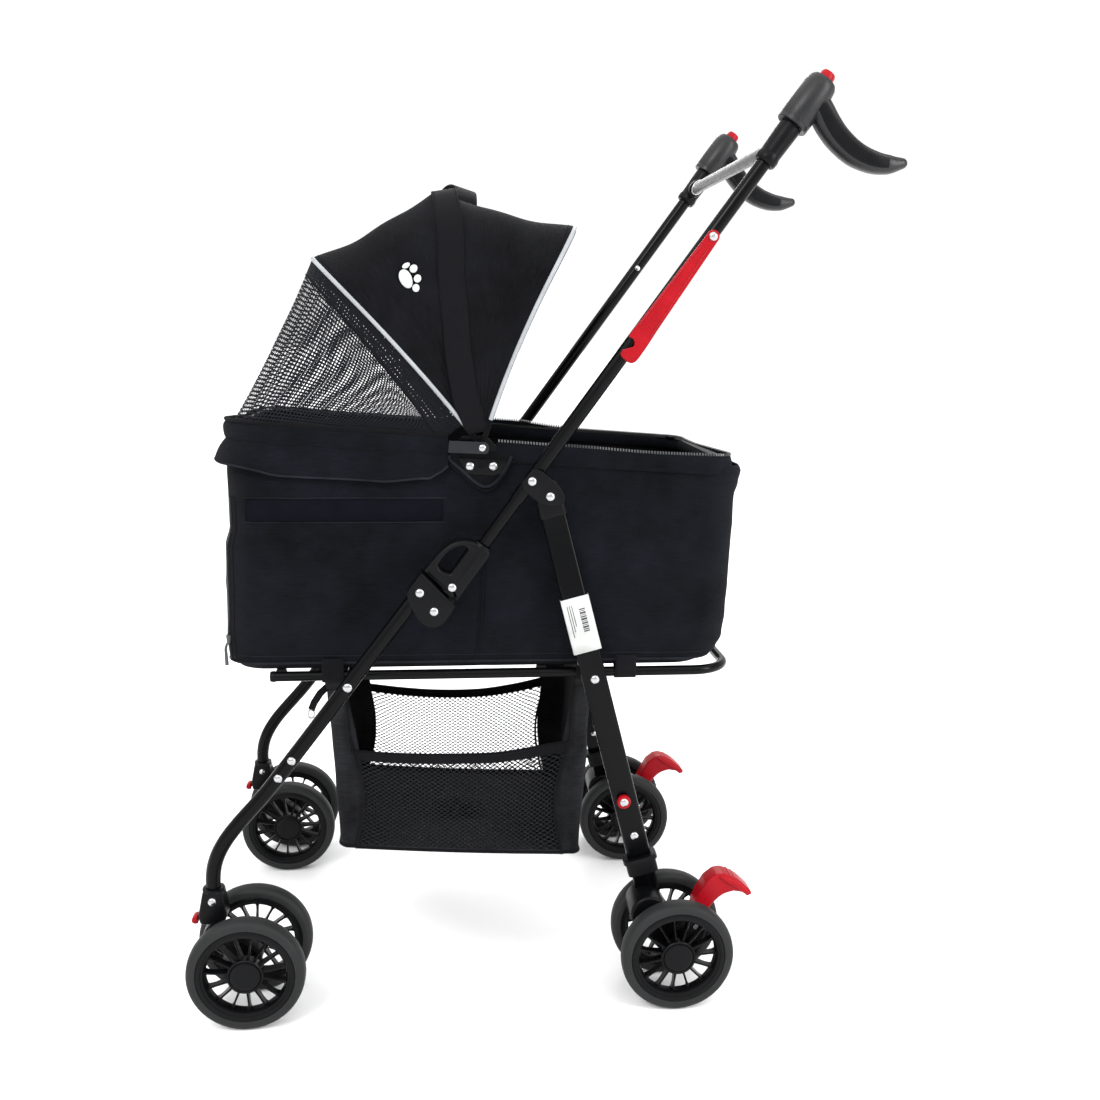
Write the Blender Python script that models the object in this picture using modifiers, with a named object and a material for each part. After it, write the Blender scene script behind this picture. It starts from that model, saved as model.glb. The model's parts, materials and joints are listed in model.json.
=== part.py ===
"""Folding pet stroller: tube frame, swivel front casters, soft carrier, canopy and basket.

Metres, +Z up. The floor is z = 0 and the stroller travels towards -X, so its left side is -Y.
Points in a side view are written (x, z), with x measured rearwards from the front axle.
"""

import math

import bmesh
import bpy
from mathutils import Matrix, Vector

# Overall placement
FRONT_AXLE_X = -0.3097
WHEELBASE = 0.4655
WHEEL_RADIUS = 0.0625
TUBE_Y = 0.185  # front legs, handle tubes and casters
REAR_LEG_Y = 0.1665
REAR_WHEEL_Y = 0.183
RAIL_Y = 0.145
TWIN_WHEEL_OFFSET = 0.037  # from the middle of a wheel pair to each wheel
GAP = 0.0004

# Frame pivots in side view
LEG_PIVOT = (0.1101, 0.3664)
REAR_PIVOT = (0.3743, 0.3648)
FOLD_PIVOT = (0.2018, 0.4464)
BRACKET_PIVOT = (0.3203, 0.5691)
CANOPY_PIVOT = (0.2515, 0.6160)
HOOK_PIVOT = (0.4804, 0.8315)
HOOK_BUSH = (0.4093, 0.2237)
PEDAL_PIVOT = (0.4900, 0.0840)

# Frame tubes
LEG_RADIUS = 0.008
LEG_SLOPE = math.radians(53.0)
HANDLE_SLOPE = math.radians(54.25)
HANDLE_RADIUS = 0.0075
HANDLE_LOW_RADIUS = 0.0065
HANDLE_LENGTH = 0.600  # this and the next seven are measured up the handle from the fold pivot
THICK_FROM = 0.147
COLLAR_START = 0.5640
COLLAR_END = 0.6090
CROSSBAR_AT = 0.5850
GRIP_START = 0.6096
GRIP_END = 0.6640
INNER_TUBE_START = 0.5050
COLLAR_RADIUS = 0.0110
COLLAR_TOP_RADIUS = 0.0125
BUTTON_HEIGHT = 0.0085
BUTTON_SUNK = 0.0012  # how far the button starts down its socket
SOCKET_DEPTH = 0.0052
SOCKET_RADIUS = 0.0095
CROSSBAR_WIDTH = 0.0190
CROSSBAR_THICKNESS = 0.0120
INNER_TUBE_RADIUS = 0.0052
REAR_LEG_WIDTH = 0.027
REAR_LEG_THICKNESS = 0.012
REAR_LEG_TOP = 0.0263  # both ends are measured from the bracket pivot down the leg
REAR_LEG_END = 0.470
RAIL_RADIUS = 0.0055
RAIL_Z = 0.3655
RAIL_FRONT = 0.026
RAIL_REAR = 0.531
CASTER_AXIS = -0.0375
LEG_FOOT = 0.1265
STEM_TOP = 0.1215
STEM_RADIUS = 0.0050

# Wheels
TYRE_HALF_WIDTH = 0.0105
TYRE_RING = 0.0055  # half of the tyre's depth from tread to rim
WHEEL_SIDES = 30
SPOKES = 15
AXLE_RADIUS = 0.004

# Carrier, canopy and basket
FLOOR_Z = 0.3735
RIM_SLOPE = -0.062
RIM_FRONT = (-0.012, 0.631)
RIM_REAR = 0.525
RIM_HALF_WIDTH = 0.1485
RIM_CORNER = 0.032
BAG_HALF_WIDTH = 0.150
BAG_WALL = 0.003
BOARD_THICKNESS = 0.004
BOARD_HALF_WIDTH = 0.132
BOW_RADIUS = 0.0025
BOW_CORNER = 0.055
CANOPY_WALL = 0.0015
MESH_WALL = 0.0012
FABRIC_START = 0.038  # from the canopy pivot along a bow
FABRIC_STANDOFF = 0.0038  # from the bow's centreline out to the fabric
BASKET = (0.082, 0.378)
BASKET_HALF_WIDTH = 0.128
BASKET_FLOOR = 0.150
BASKET_SIDE_TOP = 0.274
BASKET_END_TOP = 0.356
BASKET_WALL = 0.0025

SIDES = {"left": -1, "right": 1}

for item in list(bpy.data.objects):
    bpy.data.objects.remove(item, do_unlink=True)
parts = bpy.data.collections.new("pet_stroller")
cutters = bpy.data.collections.new("cutters")
bpy.context.scene.collection.children.link(parts)
bpy.context.scene.collection.children.link(cutters)


def material(name, colour, roughness, metallic=0.0):
    made = bpy.data.materials.new(name)
    made.use_nodes = True
    shader = made.node_tree.nodes["Principled BSDF"]
    shader.inputs["Base Color"].default_value = (*colour, 1.0)
    shader.inputs["Roughness"].default_value = roughness
    shader.inputs["Metallic"].default_value = metallic
    return made


FRAME = material("powder_coat", (0.015, 0.015, 0.016), 0.42)
PLASTIC = material("black_plastic", (0.012, 0.012, 0.013), 0.45)
SILVER = material("satin_aluminium", (0.55, 0.56, 0.58), 0.35, 1.0)
BOW = material("steel_wire", (0.50, 0.50, 0.52), 0.4, 1.0)
RED = material("red_plastic", (0.72, 0.012, 0.02), 0.35)
GRIP = material("soft_grip", (0.014, 0.014, 0.015), 0.6)
TYRE = material("eva_tyre", (0.02, 0.02, 0.021), 0.6)
FABRIC = material("carrier_fabric", (0.012, 0.012, 0.015), 0.85)
MESH = material("black_mesh", (0.03, 0.03, 0.032), 0.8)
BOARD = material("floor_board", (0.10, 0.10, 0.10), 0.8)


def at(point, y=0.0):
    """World position of a side-view point at a distance y from the middle plane."""
    return Vector((FRONT_AXLE_X + point[0], y, point[1]))


def along(origin, slope, distance, across=0.0):
    """Side-view point at a distance along a sloping line, and across it to the left."""
    return (
        origin[0] + distance * math.cos(slope) - across * math.sin(slope),
        origin[1] + distance * math.sin(slope) + across * math.cos(slope),
    )


def arc(centre, radius, start, end, count):
    """Points on a circular arc, with angles in degrees."""
    angles = [math.radians(start + (end - start) * i / count) for i in range(count + 1)]
    return [(centre[0] + radius * math.cos(a), centre[1] + radius * math.sin(a)) for a in angles]


def two_circles(first, first_radius, second, second_radius, count=6):
    """Outline of a belt round two circles."""
    lean = math.atan2(second[1] - first[1], second[0] - first[0])
    gap = math.dist(first, second)
    spread = math.degrees(math.acos((first_radius - second_radius) / gap))
    turn = math.degrees(lean)
    outline = arc(second, second_radius, turn - spread, turn + spread, count)
    return outline + arc(first, first_radius, turn + spread, turn + 360 - spread, count)


def bezier(start, start_handle, end_handle, end, count):
    """Points on a cubic curve, both ends included."""
    points = []
    for i in range(count + 1):
        t = i / count
        weights = ((1 - t) ** 3, 3 * t * (1 - t) ** 2, 3 * t * t * (1 - t), t**3)
        corners = (start, start_handle, end_handle, end)
        points.append(tuple(sum(w * c[axis] for w, c in zip(weights, corners)) for axis in (0, 1)))
    return points


def add(name, mesh, finish, place=None):
    made = bpy.data.objects.new(name, mesh)
    if place is not None:
        made.matrix_world = place
    mesh.materials.clear()
    mesh.materials.append(finish)
    parts.objects.link(made)
    return made


def to_mesh(curve_object, finish):
    """The curve's solid as a mesh object, with its caps welded on."""
    parts.objects.link(curve_object)
    bpy.context.view_layer.update()
    graph = bpy.context.evaluated_depsgraph_get()
    mesh = bpy.data.meshes.new_from_object(curve_object.evaluated_get(graph))
    name, place = curve_object.name, curve_object.matrix_world.copy()
    bpy.data.objects.remove(curve_object, do_unlink=True)
    shape = bmesh.new()
    shape.from_mesh(mesh)
    bmesh.ops.remove_doubles(shape, verts=shape.verts, dist=1e-5)
    bmesh.ops.recalc_face_normals(shape, faces=shape.faces)
    shape.to_mesh(mesh)
    shape.free()
    mesh.shade_smooth()
    mesh.set_sharp_from_angle(angle=math.radians(40))
    return add(name, mesh, finish, place)


def tube(name, points, radius, finish, radii=None, closed=False, detail=2):
    """A round bar along world points. radii holds factors of the radius, one for each point."""
    curve = bpy.data.curves.new(name, "CURVE")
    curve.dimensions = "3D"
    curve.bevel_depth = radius
    curve.bevel_resolution = detail
    curve.use_fill_caps = not closed
    spline = curve.splines.new("POLY")
    spline.points.add(len(points) - 1)
    for i, point in enumerate(points):
        spline.points[i].co = (*point, 1.0)
        spline.points[i].radius = radii[i] if radii else 1.0
    spline.use_cyclic_u = closed
    return to_mesh(bpy.data.objects.new(name, curve), finish)


def plate(name, outline, low, high, finish, holes=()):
    """A flat piece with a side-view outline, between two distances from the middle plane."""
    curve = bpy.data.curves.new(name, "CURVE")
    curve.dimensions = "2D"
    curve.fill_mode = "BOTH"
    curve.extrude = abs(high - low) / 2
    for loop in (outline, *holes):
        spline = curve.splines.new("POLY")
        spline.points.add(len(loop) - 1)
        for i, (x, z) in enumerate(loop):
            spline.points[i].co = (FRONT_AXLE_X + x, z, 0.0, 1.0)
        spline.use_cyclic_u = True
    made = bpy.data.objects.new(name, curve)
    upright = Matrix.Rotation(math.pi / 2, 4, "X")
    made.matrix_world = Matrix.Translation((0, (low + high) / 2, 0)) @ upright
    return to_mesh(made, finish)


def rod(name, start, end, radius, finish, sides=16, far_radius=None):
    """A straight cylinder, or a cone, between two world points."""
    mesh = bpy.data.meshes.new(name)
    shape = bmesh.new()
    step = Vector(end) - Vector(start)
    bmesh.ops.create_cone(
        shape,
        cap_ends=True,
        segments=sides,
        radius1=radius,
        radius2=radius if far_radius is None else far_radius,
        depth=step.length,
    )
    shape.to_mesh(mesh)
    shape.free()
    mesh.shade_smooth()
    mesh.set_sharp_from_angle(angle=math.radians(40))
    turned = step.to_track_quat("Z", "Y").to_matrix().to_4x4()
    return add(name, mesh, finish, Matrix.Translation((Vector(start) + Vector(end)) / 2) @ turned)


def oval_bar(name, start, end, width, thickness, finish, sides=16):
    """A straight bar of flat-oval section, its width in side view and its thickness along Y."""
    made = rod(name, start, end, 1.0, finish, sides)
    step = (Vector(end) - Vector(start)).normalized()
    wide = Vector((0, 1, 0)).cross(step)
    depth = (Vector(end) - Vector(start)).length
    middle = (Vector(start) + Vector(end)) / 2
    for vertex in made.data.vertices:
        flat = (width - thickness) / 2
        x = vertex.co.x * thickness / 2 + math.copysign(flat, vertex.co.x) * (abs(vertex.co.x) > 1e-6)
        y = vertex.co.y * thickness / 2
        vertex.co = (x, y, math.copysign(depth / 2, vertex.co.z))
    turned = Matrix((wide, Vector((0, 1, 0)), step)).transposed().to_4x4()
    made.matrix_world = Matrix.Translation(middle) @ turned
    return made


def box(name, low, high, finish, bevel=0.0):
    mesh = bpy.data.meshes.new(name)
    shape = bmesh.new()
    bmesh.ops.create_cube(shape, size=1.0)
    size = Vector(high) - Vector(low)
    bmesh.ops.scale(shape, vec=size, verts=shape.verts)
    shape.to_mesh(mesh)
    shape.free()
    made = add(name, mesh, finish, Matrix.Translation((Vector(low) + Vector(high)) / 2))
    if bevel:
        rounded = made.modifiers.new("rounded", "BEVEL")
        rounded.width = bevel
        rounded.segments = 2
    return made


def combine(target, others, operation):
    """Joins the others to the target, or cuts them from it."""
    for other in others:
        other.name = f"{target.name}_{operation.lower()}_{len(target.modifiers)}"
        parts.objects.unlink(other)
        cutters.objects.link(other)
        other.hide_render = True
        other.display_type = "WIRE"
        step = target.modifiers.new(other.name, "BOOLEAN")
        step.operation = operation
        step.object = other
    return target


def sheet(name, rows, thickness, finish, outward=1.0, closed=False):
    """A thin shell over a grid of world points. Closed rows run round a floor made from the first."""
    mesh = bpy.data.meshes.new(name)
    shape = bmesh.new()
    grid = [[shape.verts.new(point) for point in row] for row in rows]
    columns = len(rows[0])
    for one, two in zip(grid, grid[1:]):
        for i in range(columns if closed else columns - 1):
            j = (i + 1) % columns
            shape.faces.new((one[i], one[j], two[j], two[i]))
    if closed:
        shape.faces.new(grid[0])
    bmesh.ops.recalc_face_normals(shape, faces=shape.faces)
    shape.to_mesh(mesh)
    shape.free()
    made = add(name, mesh, finish)
    wall = made.modifiers.new("thickness", "SOLIDIFY")
    wall.thickness = thickness
    wall.offset = outward
    wall.use_even_offset = True
    return made


# Frame


def front_leg(name, side):
    y = side * TUBE_Y
    bend_end = along(LEG_PIVOT, LEG_SLOPE, -0.1342)
    lower_handle = along(bend_end, LEG_SLOPE, -0.050)
    points = [(CASTER_AXIS, LEG_FOOT)]
    points += bezier((CASTER_AXIS, 0.150), (CASTER_AXIS, 0.195), lower_handle, bend_end, 7)
    points.append(along(LEG_PIVOT, LEG_SLOPE, 0.134))
    return tube(name, [at(point, y) for point in points], LEG_RADIUS, FRAME)


def fold_bracket(name, side):
    """The clevis at the top of a front leg that the handle tube folds in."""

    def place(distance, across):
        return along(FOLD_PIVOT, HANDLE_SLOPE, distance, across)

    outline = [
        place(0.0265, 0.0365),
        place(0.0010, 0.0372),
        place(-0.0070, 0.0285),
        place(-0.0165, 0.0085),
        place(-0.0165, -0.0050),
        place(-0.0085, -0.0125),
        place(0.0040, -0.0140),
        place(0.0175, -0.0125),
    ]
    body = plate(name, outline, side * 0.1735, side * 0.1965, PLASTIC)
    slot = [place(-0.04, -0.04), place(0.05, -0.04), place(0.05, 0.0335), place(-0.04, 0.0335)]
    return combine(body, [plate("slot", slot, side * 0.1763, side * 0.1937, PLASTIC)], "DIFFERENCE")


def lock_sleeve(name, side):
    """The sleeve that slides over the fold joint, with a finger hole in its tab."""

    def place(distance, across):
        return along(FOLD_PIVOT, HANDLE_SLOPE, distance, across)

    outline = [
        place(0.0290, 0.0355),
        place(0.0570, 0.0338),
        place(0.0740, 0.0285),
        place(0.0850, 0.0130),
        place(0.0860, -0.0090),
        place(0.0800, -0.0112),
        place(0.0225, -0.0112),
    ]
    hole = [
        place(0.0430, 0.0115),
        place(0.0400, 0.0200),
        place(0.0430, 0.0275),
        place(0.0620, 0.0265),
        place(0.0740, 0.0185),
        place(0.0745, 0.0115),
    ]
    body = plate(name, outline, side * 0.1745, side * 0.1955, PLASTIC, [hole])
    bore_start = at(place(0.0, 0.0), side * TUBE_Y)
    bore_end = at(place(0.11, 0.0), side * TUBE_Y)
    bore = rod("bore", bore_start, bore_end, HANDLE_LOW_RADIUS + 0.0012, PLASTIC)
    return combine(body, [bore], "DIFFERENCE")


def handle_tube(name, side):
    """Thin below the leg bracket, thick above it, and hollow at the top for the grip's inner tube."""
    y = side * TUBE_Y
    low = HANDLE_LOW_RADIUS / HANDLE_RADIUS
    distances = [-HANDLE_LOW_RADIUS, THICK_FROM - 0.002, THICK_FROM, HANDLE_LENGTH]
    points = [at(along(FOLD_PIVOT, HANDLE_SLOPE, d), y) for d in distances]
    body = tube(name, points, HANDLE_RADIUS, FRAME, [low, low, 1.0, 1.0])
    bottom = at(along(FOLD_PIVOT, HANDLE_SLOPE, INNER_TUBE_START - 0.005), y)
    top = at(along(FOLD_PIVOT, HANDLE_SLOPE, HANDLE_LENGTH + 0.02), y)
    return combine(body, [rod("hollow", bottom, top, INNER_TUBE_RADIUS + 0.0006, FRAME, 12)], "DIFFERENCE")


def handle_collar(name, side):
    y = side * TUBE_Y
    ends = [at(along(FOLD_PIVOT, HANDLE_SLOPE, d), y) for d in (COLLAR_START, COLLAR_END)]
    body = rod(name, ends[0], ends[1], COLLAR_RADIUS, PLASTIC, 16, COLLAR_TOP_RADIUS)
    through = [at(along(FOLD_PIVOT, HANDLE_SLOPE, d), y) for d in (COLLAR_START - 0.02, COLLAR_END + 0.02)]
    return combine(body, [rod("bore", through[0], through[1], HANDLE_RADIUS + GAP, PLASTIC)], "DIFFERENCE")


def handle_crossbar():
    """Oval bar between the two collars, its wide faces along the handle."""
    middle = along(FOLD_PIVOT, HANDLE_SLOPE, CROSSBAR_AT)
    turns = [2 * math.pi * i / 16 for i in range(16)]
    outline = [
        along(middle, HANDLE_SLOPE, CROSSBAR_WIDTH / 2 * math.cos(t), CROSSBAR_THICKNESS / 2 * math.sin(t))
        for t in turns
    ]
    reach = TUBE_Y - COLLAR_TOP_RADIUS - GAP
    return plate("handle_crossbar", outline, -reach, reach, SILVER)


def grip(name, side):
    """Barrel with its button socket, palm lever curving back and down, and the tube it telescopes on."""
    y = side * TUBE_Y
    start, end = (at(along(FOLD_PIVOT, HANDLE_SLOPE, d), y) for d in (GRIP_START, GRIP_END))
    body = rod(name, start, end, 0.0165, GRIP, 16, 0.0175)
    route = bezier((0.5800, 0.9680), (0.6080, 0.9480), (0.6180, 0.9090), (0.6810, 0.9070), 8)
    radii = [0.9, 1.0, 1.05, 1.1, 1.1, 1.05, 0.95, 0.75, 0.42]
    lever = tube("lever", [at(point, y) for point in route], 0.0115, PLASTIC, radii)
    inner = [at(along(FOLD_PIVOT, HANDLE_SLOPE, d), y) for d in (INNER_TUBE_START, GRIP_START + 0.02)]
    inner_tube = rod("inner_tube", inner[0], inner[1], INNER_TUBE_RADIUS, PLASTIC, 12)
    combine(body, [lever, inner_tube], "UNION")
    socket_heights = (GRIP_END - SOCKET_DEPTH, GRIP_END + 0.01)
    socket = [at(along(FOLD_PIVOT, HANDLE_SLOPE, d), y) for d in socket_heights]
    return combine(body, [rod("socket", socket[0], socket[1], SOCKET_RADIUS, GRIP)], "DIFFERENCE")


def grip_button(name, side):
    heights = (GRIP_END - BUTTON_SUNK, GRIP_END + BUTTON_HEIGHT)
    ends = [at(along(FOLD_PIVOT, HANDLE_SLOPE, d), side * TUBE_Y) for d in heights]
    return rod(name, ends[0], ends[1], 0.0085, RED, 16, 0.0070)


def leg_bracket(name, side):
    """Plate riveted to the handle tube, with the boss that the rear leg turns on."""
    tube_rivet = along(FOLD_PIVOT, HANDLE_SLOPE, 0.1705)
    outline = two_circles(tube_rivet, 0.0175, BRACKET_PIVOT, 0.0140)
    body = plate(name, outline, side * 0.1940, side * 0.1975, PLASTIC)
    boss = rod("boss", at(BRACKET_PIVOT, side * 0.1745), at(BRACKET_PIVOT, side * 0.1955), 0.0080, PLASTIC)
    return combine(body, [boss], "UNION")


def rear_leg_point(distance):
    slope = math.atan2(REAR_PIVOT[1] - BRACKET_PIVOT[1], REAR_PIVOT[0] - BRACKET_PIVOT[0])
    return along(BRACKET_PIVOT, slope, distance)


def rear_leg(name, side):
    ends = [at(rear_leg_point(d), side * REAR_LEG_Y) for d in (REAR_LEG_TOP, REAR_LEG_END)]
    return oval_bar(name, ends[0], ends[1], REAR_LEG_WIDTH, REAR_LEG_THICKNESS, FRAME)


def rear_leg_cap(name, side):
    ends = [at(rear_leg_point(d), side * REAR_LEG_Y) for d in (-0.0130, REAR_LEG_TOP - GAP)]
    return oval_bar(name, ends[0], ends[1], REAR_LEG_WIDTH + 0.0025, REAR_LEG_THICKNESS + 0.0016, PLASTIC)


def hook_latch():
    """Flat bar on the left handle that widens to a hook, whose notch catches the leg's bush."""
    end = along(HOOK_PIVOT, HANDLE_SLOPE, -0.1374)

    def place(distance, across):
        return along(end, HANDLE_SLOPE, distance, across)

    outline = arc(HOOK_PIVOT, 0.0068, -30, 125, 6)
    outline += [place(0.020, 0.0095), place(0.0095, 0.0100)]
    outline += arc(place(0.0030, 0.0052), 0.0062, 88, -35, 5)
    outline += [place(-0.0080, 0.0070), place(-0.0125, 0.0030), place(-0.0125, -0.0070)]
    outline += [place(-0.0040, -0.0125), place(0.0300, -0.0115)]
    return plate("hook_latch", outline, -0.1945, -0.1980, RED)


def hook_bush():
    face = REAR_LEG_Y + REAR_LEG_THICKNESS / 2 + GAP
    return rod("hook_bush", at(HOOK_BUSH, -face), at(HOOK_BUSH, -face - 0.0056), 0.0075, RED)


def base_frame():
    """Open-fronted loop under the carrier, with the two rods that the legs turn on."""
    corner = 0.042
    points = [(RAIL_FRONT, -RAIL_Y)]
    points += arc((RAIL_REAR - corner, -RAIL_Y + corner), corner, -90, 0, 5)
    points += arc((RAIL_REAR - corner, RAIL_Y - corner), corner, 0, 90, 5)
    points.append((RAIL_FRONT, RAIL_Y))
    loop = tube("base_frame", [at((x, RAIL_Z), y) for x, y in points], RAIL_RADIUS, FRAME)
    reach = {LEG_PIVOT: TUBE_Y - LEG_RADIUS - GAP, REAR_PIVOT: REAR_LEG_Y - REAR_LEG_THICKNESS / 2 - GAP}
    rods = [rod("rod", at(pivot, -y), at(pivot, y), 0.0045, FRAME, 12) for pivot, y in reach.items()]
    return combine(loop, rods, "UNION")


# Wheels, casters and brakes


def wheel_place(centre, y):
    """Frame with the wheel's spin axis along Y."""
    return Matrix.Translation(at(centre, y)) @ Matrix.Rotation(math.pi / 2, 4, "X")


def tyre_mesh():
    bpy.ops.mesh.primitive_torus_add(
        major_segments=WHEEL_SIDES,
        minor_segments=8,
        major_radius=WHEEL_RADIUS - TYRE_RING,
        minor_radius=TYRE_RING,
    )
    made = bpy.context.object
    mesh = made.data
    widen = Matrix.Diagonal((1, 1, TYRE_HALF_WIDTH / TYRE_RING, 1))
    mesh.transform(Matrix.Rotation(math.pi / WHEEL_SIDES, 4, "Z") @ widen)
    mesh.shade_smooth()
    bpy.data.objects.remove(made, do_unlink=True)
    mesh.materials.append(TYRE)
    return mesh


def rim_mesh():
    """Disc with a window between each two spokes and a hole for the axle."""
    outer = WHEEL_RADIUS - 2 * TYRE_RING - 0.0004
    turn = 180 / WHEEL_SIDES

    def ring(radius, count, start):
        points = [math.radians(start + 360 * i / count) for i in range(count)]
        return [(radius * math.cos(a), radius * math.sin(a)) for a in points]

    curve = bpy.data.curves.new("rim", "CURVE")
    curve.dimensions = "2D"
    curve.fill_mode = "BOTH"
    curve.extrude = 0.0075
    loops = [ring(outer, WHEEL_SIDES, turn), ring(AXLE_RADIUS + 0.0006, 10, 0)]
    pitch = 360 / SPOKES
    for i in range(SPOKES):
        window = arc((0, 0), 0.0420, i * pitch + 1.8, (i + 1) * pitch - 1.8, 2)
        loops.append(window + arc((0, 0), 0.0190, (i + 1) * pitch - 4.5, i * pitch + 4.5, 1))
    for loop in loops:
        spline = curve.splines.new("POLY")
        spline.points.add(len(loop) - 1)
        for point, (x, y) in zip(spline.points, loop):
            point.co = (x, y, 0.0, 1.0)
        spline.use_cyclic_u = True
    made = to_mesh(bpy.data.objects.new("rim", curve), PLASTIC)
    mesh = made.data
    bpy.data.objects.remove(made, do_unlink=True)
    return mesh


def wheel_pair(corner, centre, y, tyre, rim):
    for label, offset in (("inner", -TWIN_WHEEL_OFFSET), ("outer", TWIN_WHEEL_OFFSET)):
        place = wheel_place(centre, y + math.copysign(1.0, y) * offset)
        for piece, mesh in (("tyre", tyre), ("rim", rim)):
            made = bpy.data.objects.new(f"{piece}_{corner}_{label}", mesh)
            made.matrix_world = place
            parts.objects.link(made)


def axle(centre, y):
    reach = TWIN_WHEEL_OFFSET + 0.0085
    return rod("axle", at(centre, y - reach), at(centre, y + reach), AXLE_RADIUS, SILVER, 12)


def caster_socket(name, side):
    y = side * TUBE_Y
    outline = [
        (-0.0490, 0.1425),
        (-0.0530, 0.1150),
        (-0.0510, 0.1045),
        (-0.0270, 0.1045),
        (-0.0225, 0.1130),
        (-0.0258, 0.1425),
    ]
    body = plate(name, outline, y - 0.0115, y + 0.0115, PLASTIC)
    leg_foot = at((CASTER_AXIS, LEG_FOOT - GAP), y)
    leg_bore = rod("leg_bore", leg_foot, at((CASTER_AXIS, 0.1600), y), LEG_RADIUS + GAP, PLASTIC)
    stem_top = at((CASTER_AXIS, STEM_TOP + 0.001), y)
    stem_bore = rod("stem_bore", at((CASTER_AXIS, 0.0900), y), stem_top, STEM_RADIUS + 0.0006, PLASTIC)
    return combine(body, [leg_bore, stem_bore], "DIFFERENCE")


def caster_fork(name, side):
    y = side * TUBE_Y
    outline = two_circles((-0.0365, 0.0895), 0.0132, (0.0, WHEEL_RADIUS), 0.0125)
    body = plate(name, outline, y - 0.0105, y + 0.0105, PLASTIC)
    stem = rod("stem", at((CASTER_AXIS, 0.0950), y), at((CASTER_AXIS, STEM_TOP), y), STEM_RADIUS, PLASTIC, 12)
    return combine(body, [stem, axle((0.0, WHEEL_RADIUS), y)], "UNION")


def swivel_tab(name, side):
    y = side * TUBE_Y
    low, high = at((-0.0610, 0.1035), y - 0.006), at((-0.0540, 0.1130), y + 0.006)
    return box(name, low, high, RED, 0.0015)


def wheel_housing(name, side):
    """Holds the rear leg's end, the rear axle, and the brake pedal between two cheeks."""
    y = side * REAR_WHEEL_Y
    centre = (WHEELBASE, WHEEL_RADIUS)
    outline = two_circles((0.4370, 0.1000), 0.0205, centre, 0.0150)
    body = plate(name, outline, side * 0.1573, side * 0.2005, PLASTIC)
    cheek = two_circles(centre, 0.0135, PEDAL_PIVOT, 0.0085)
    lows = (REAR_WHEEL_Y - 0.0205, REAR_WHEEL_Y + 0.0135)
    cheeks = [plate("cheek", cheek, side * low, side * (low + 0.0040), PLASTIC) for low in lows]
    combine(body, [*cheeks, axle(centre, y)], "UNION")
    ends = [at(rear_leg_point(d), side * REAR_LEG_Y) for d in (0.400, REAR_LEG_END + 0.0006)]
    width = REAR_LEG_WIDTH + 2 * GAP
    pocket = oval_bar("pocket", ends[0], ends[1], width, REAR_LEG_THICKNESS + 2 * GAP, PLASTIC)
    return combine(body, [pocket], "DIFFERENCE")


def brake_pedal(name, side):
    """Lever between the housing's cheeks with a flat tread at its end."""
    hub = arc(PEDAL_PIVOT, 0.0060, 130, 320, 6)
    outline = [*hub, (0.5060, 0.0950), (0.5130, 0.1090), (0.5225, 0.1180), (0.5340, 0.1225)]
    outline += [(0.5480, 0.1180), (0.5525, 0.1225), (0.5420, 0.1320), (0.5200, 0.1420)]
    outline += [(0.5100, 0.1400), (0.4995, 0.1280), (0.4900, 0.1080)]
    return plate(name, outline, side * 0.1672, side * 0.1960, RED)


# Carrier, canopy and basket


def rim_z(x):
    return RIM_FRONT[1] + RIM_SLOPE * (x - RIM_FRONT[0])


def rounded_plan(front, rear, half_width, radius, steps=3):
    """Plan outline (x, y) with round corners, from the front left round to the rear left."""
    corners = (
        ((front + radius, -half_width + radius), 270, 180),
        ((front + radius, half_width - radius), 180, 90),
        ((rear - radius, half_width - radius), 90, 0),
        ((rear - radius, -half_width + radius), 0, -90),
    )
    return [point for centre, start, end in corners for point in arc(centre, radius, start, end, steps)]


def rim_frame():
    """Loop round the carrier's top edge, with a plate on each side for the canopy's pivot."""
    plan = rounded_plan(RIM_FRONT[0], RIM_REAR, RIM_HALF_WIDTH, RIM_CORNER)
    loop = tube("rim_frame", [at((x, rim_z(x)), y) for x, y in plan], 0.004, FRAME, closed=True)
    outline = [
        (0.2280, 0.5900),
        (0.2250, 0.6230),
        (0.2330, 0.6270),
        (0.2560, 0.6270),
        (0.2790, 0.6050),
        (0.2760, 0.5900),
    ]
    plates = [plate("side_plate", outline, side * 0.1506, side * 0.1530, FRAME) for side in (-1, 1)]
    return combine(loop, plates, "UNION")


def carrier_bag():
    """Open-topped carrier: flat bottom, slightly flared walls, top edge just under the rim loop."""
    bottom = rounded_plan(-0.0205, 0.4880, 0.1460, 0.030)
    top = rounded_plan(-0.0160, 0.5290, BAG_HALF_WIDTH, RIM_CORNER)
    levels = (0.0, 0.10, 0.55, 1.0)
    rows = []
    for level in levels:
        spread = min(1.0, level * 1.15)
        row = []
        for (x0, y0), (x1, y1) in zip(bottom, top):
            x = x0 + (x1 - x0) * spread
            y = y0 + (y1 - y0) * spread
            z = FLOOR_Z + (rim_z(x1) - 0.0045 - FLOOR_Z) * level
            row.append(at((x, z), y))
        rows.append(row)
    return sheet("carrier_bag", rows, BAG_WALL, FABRIC, -1.0, closed=True)


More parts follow.
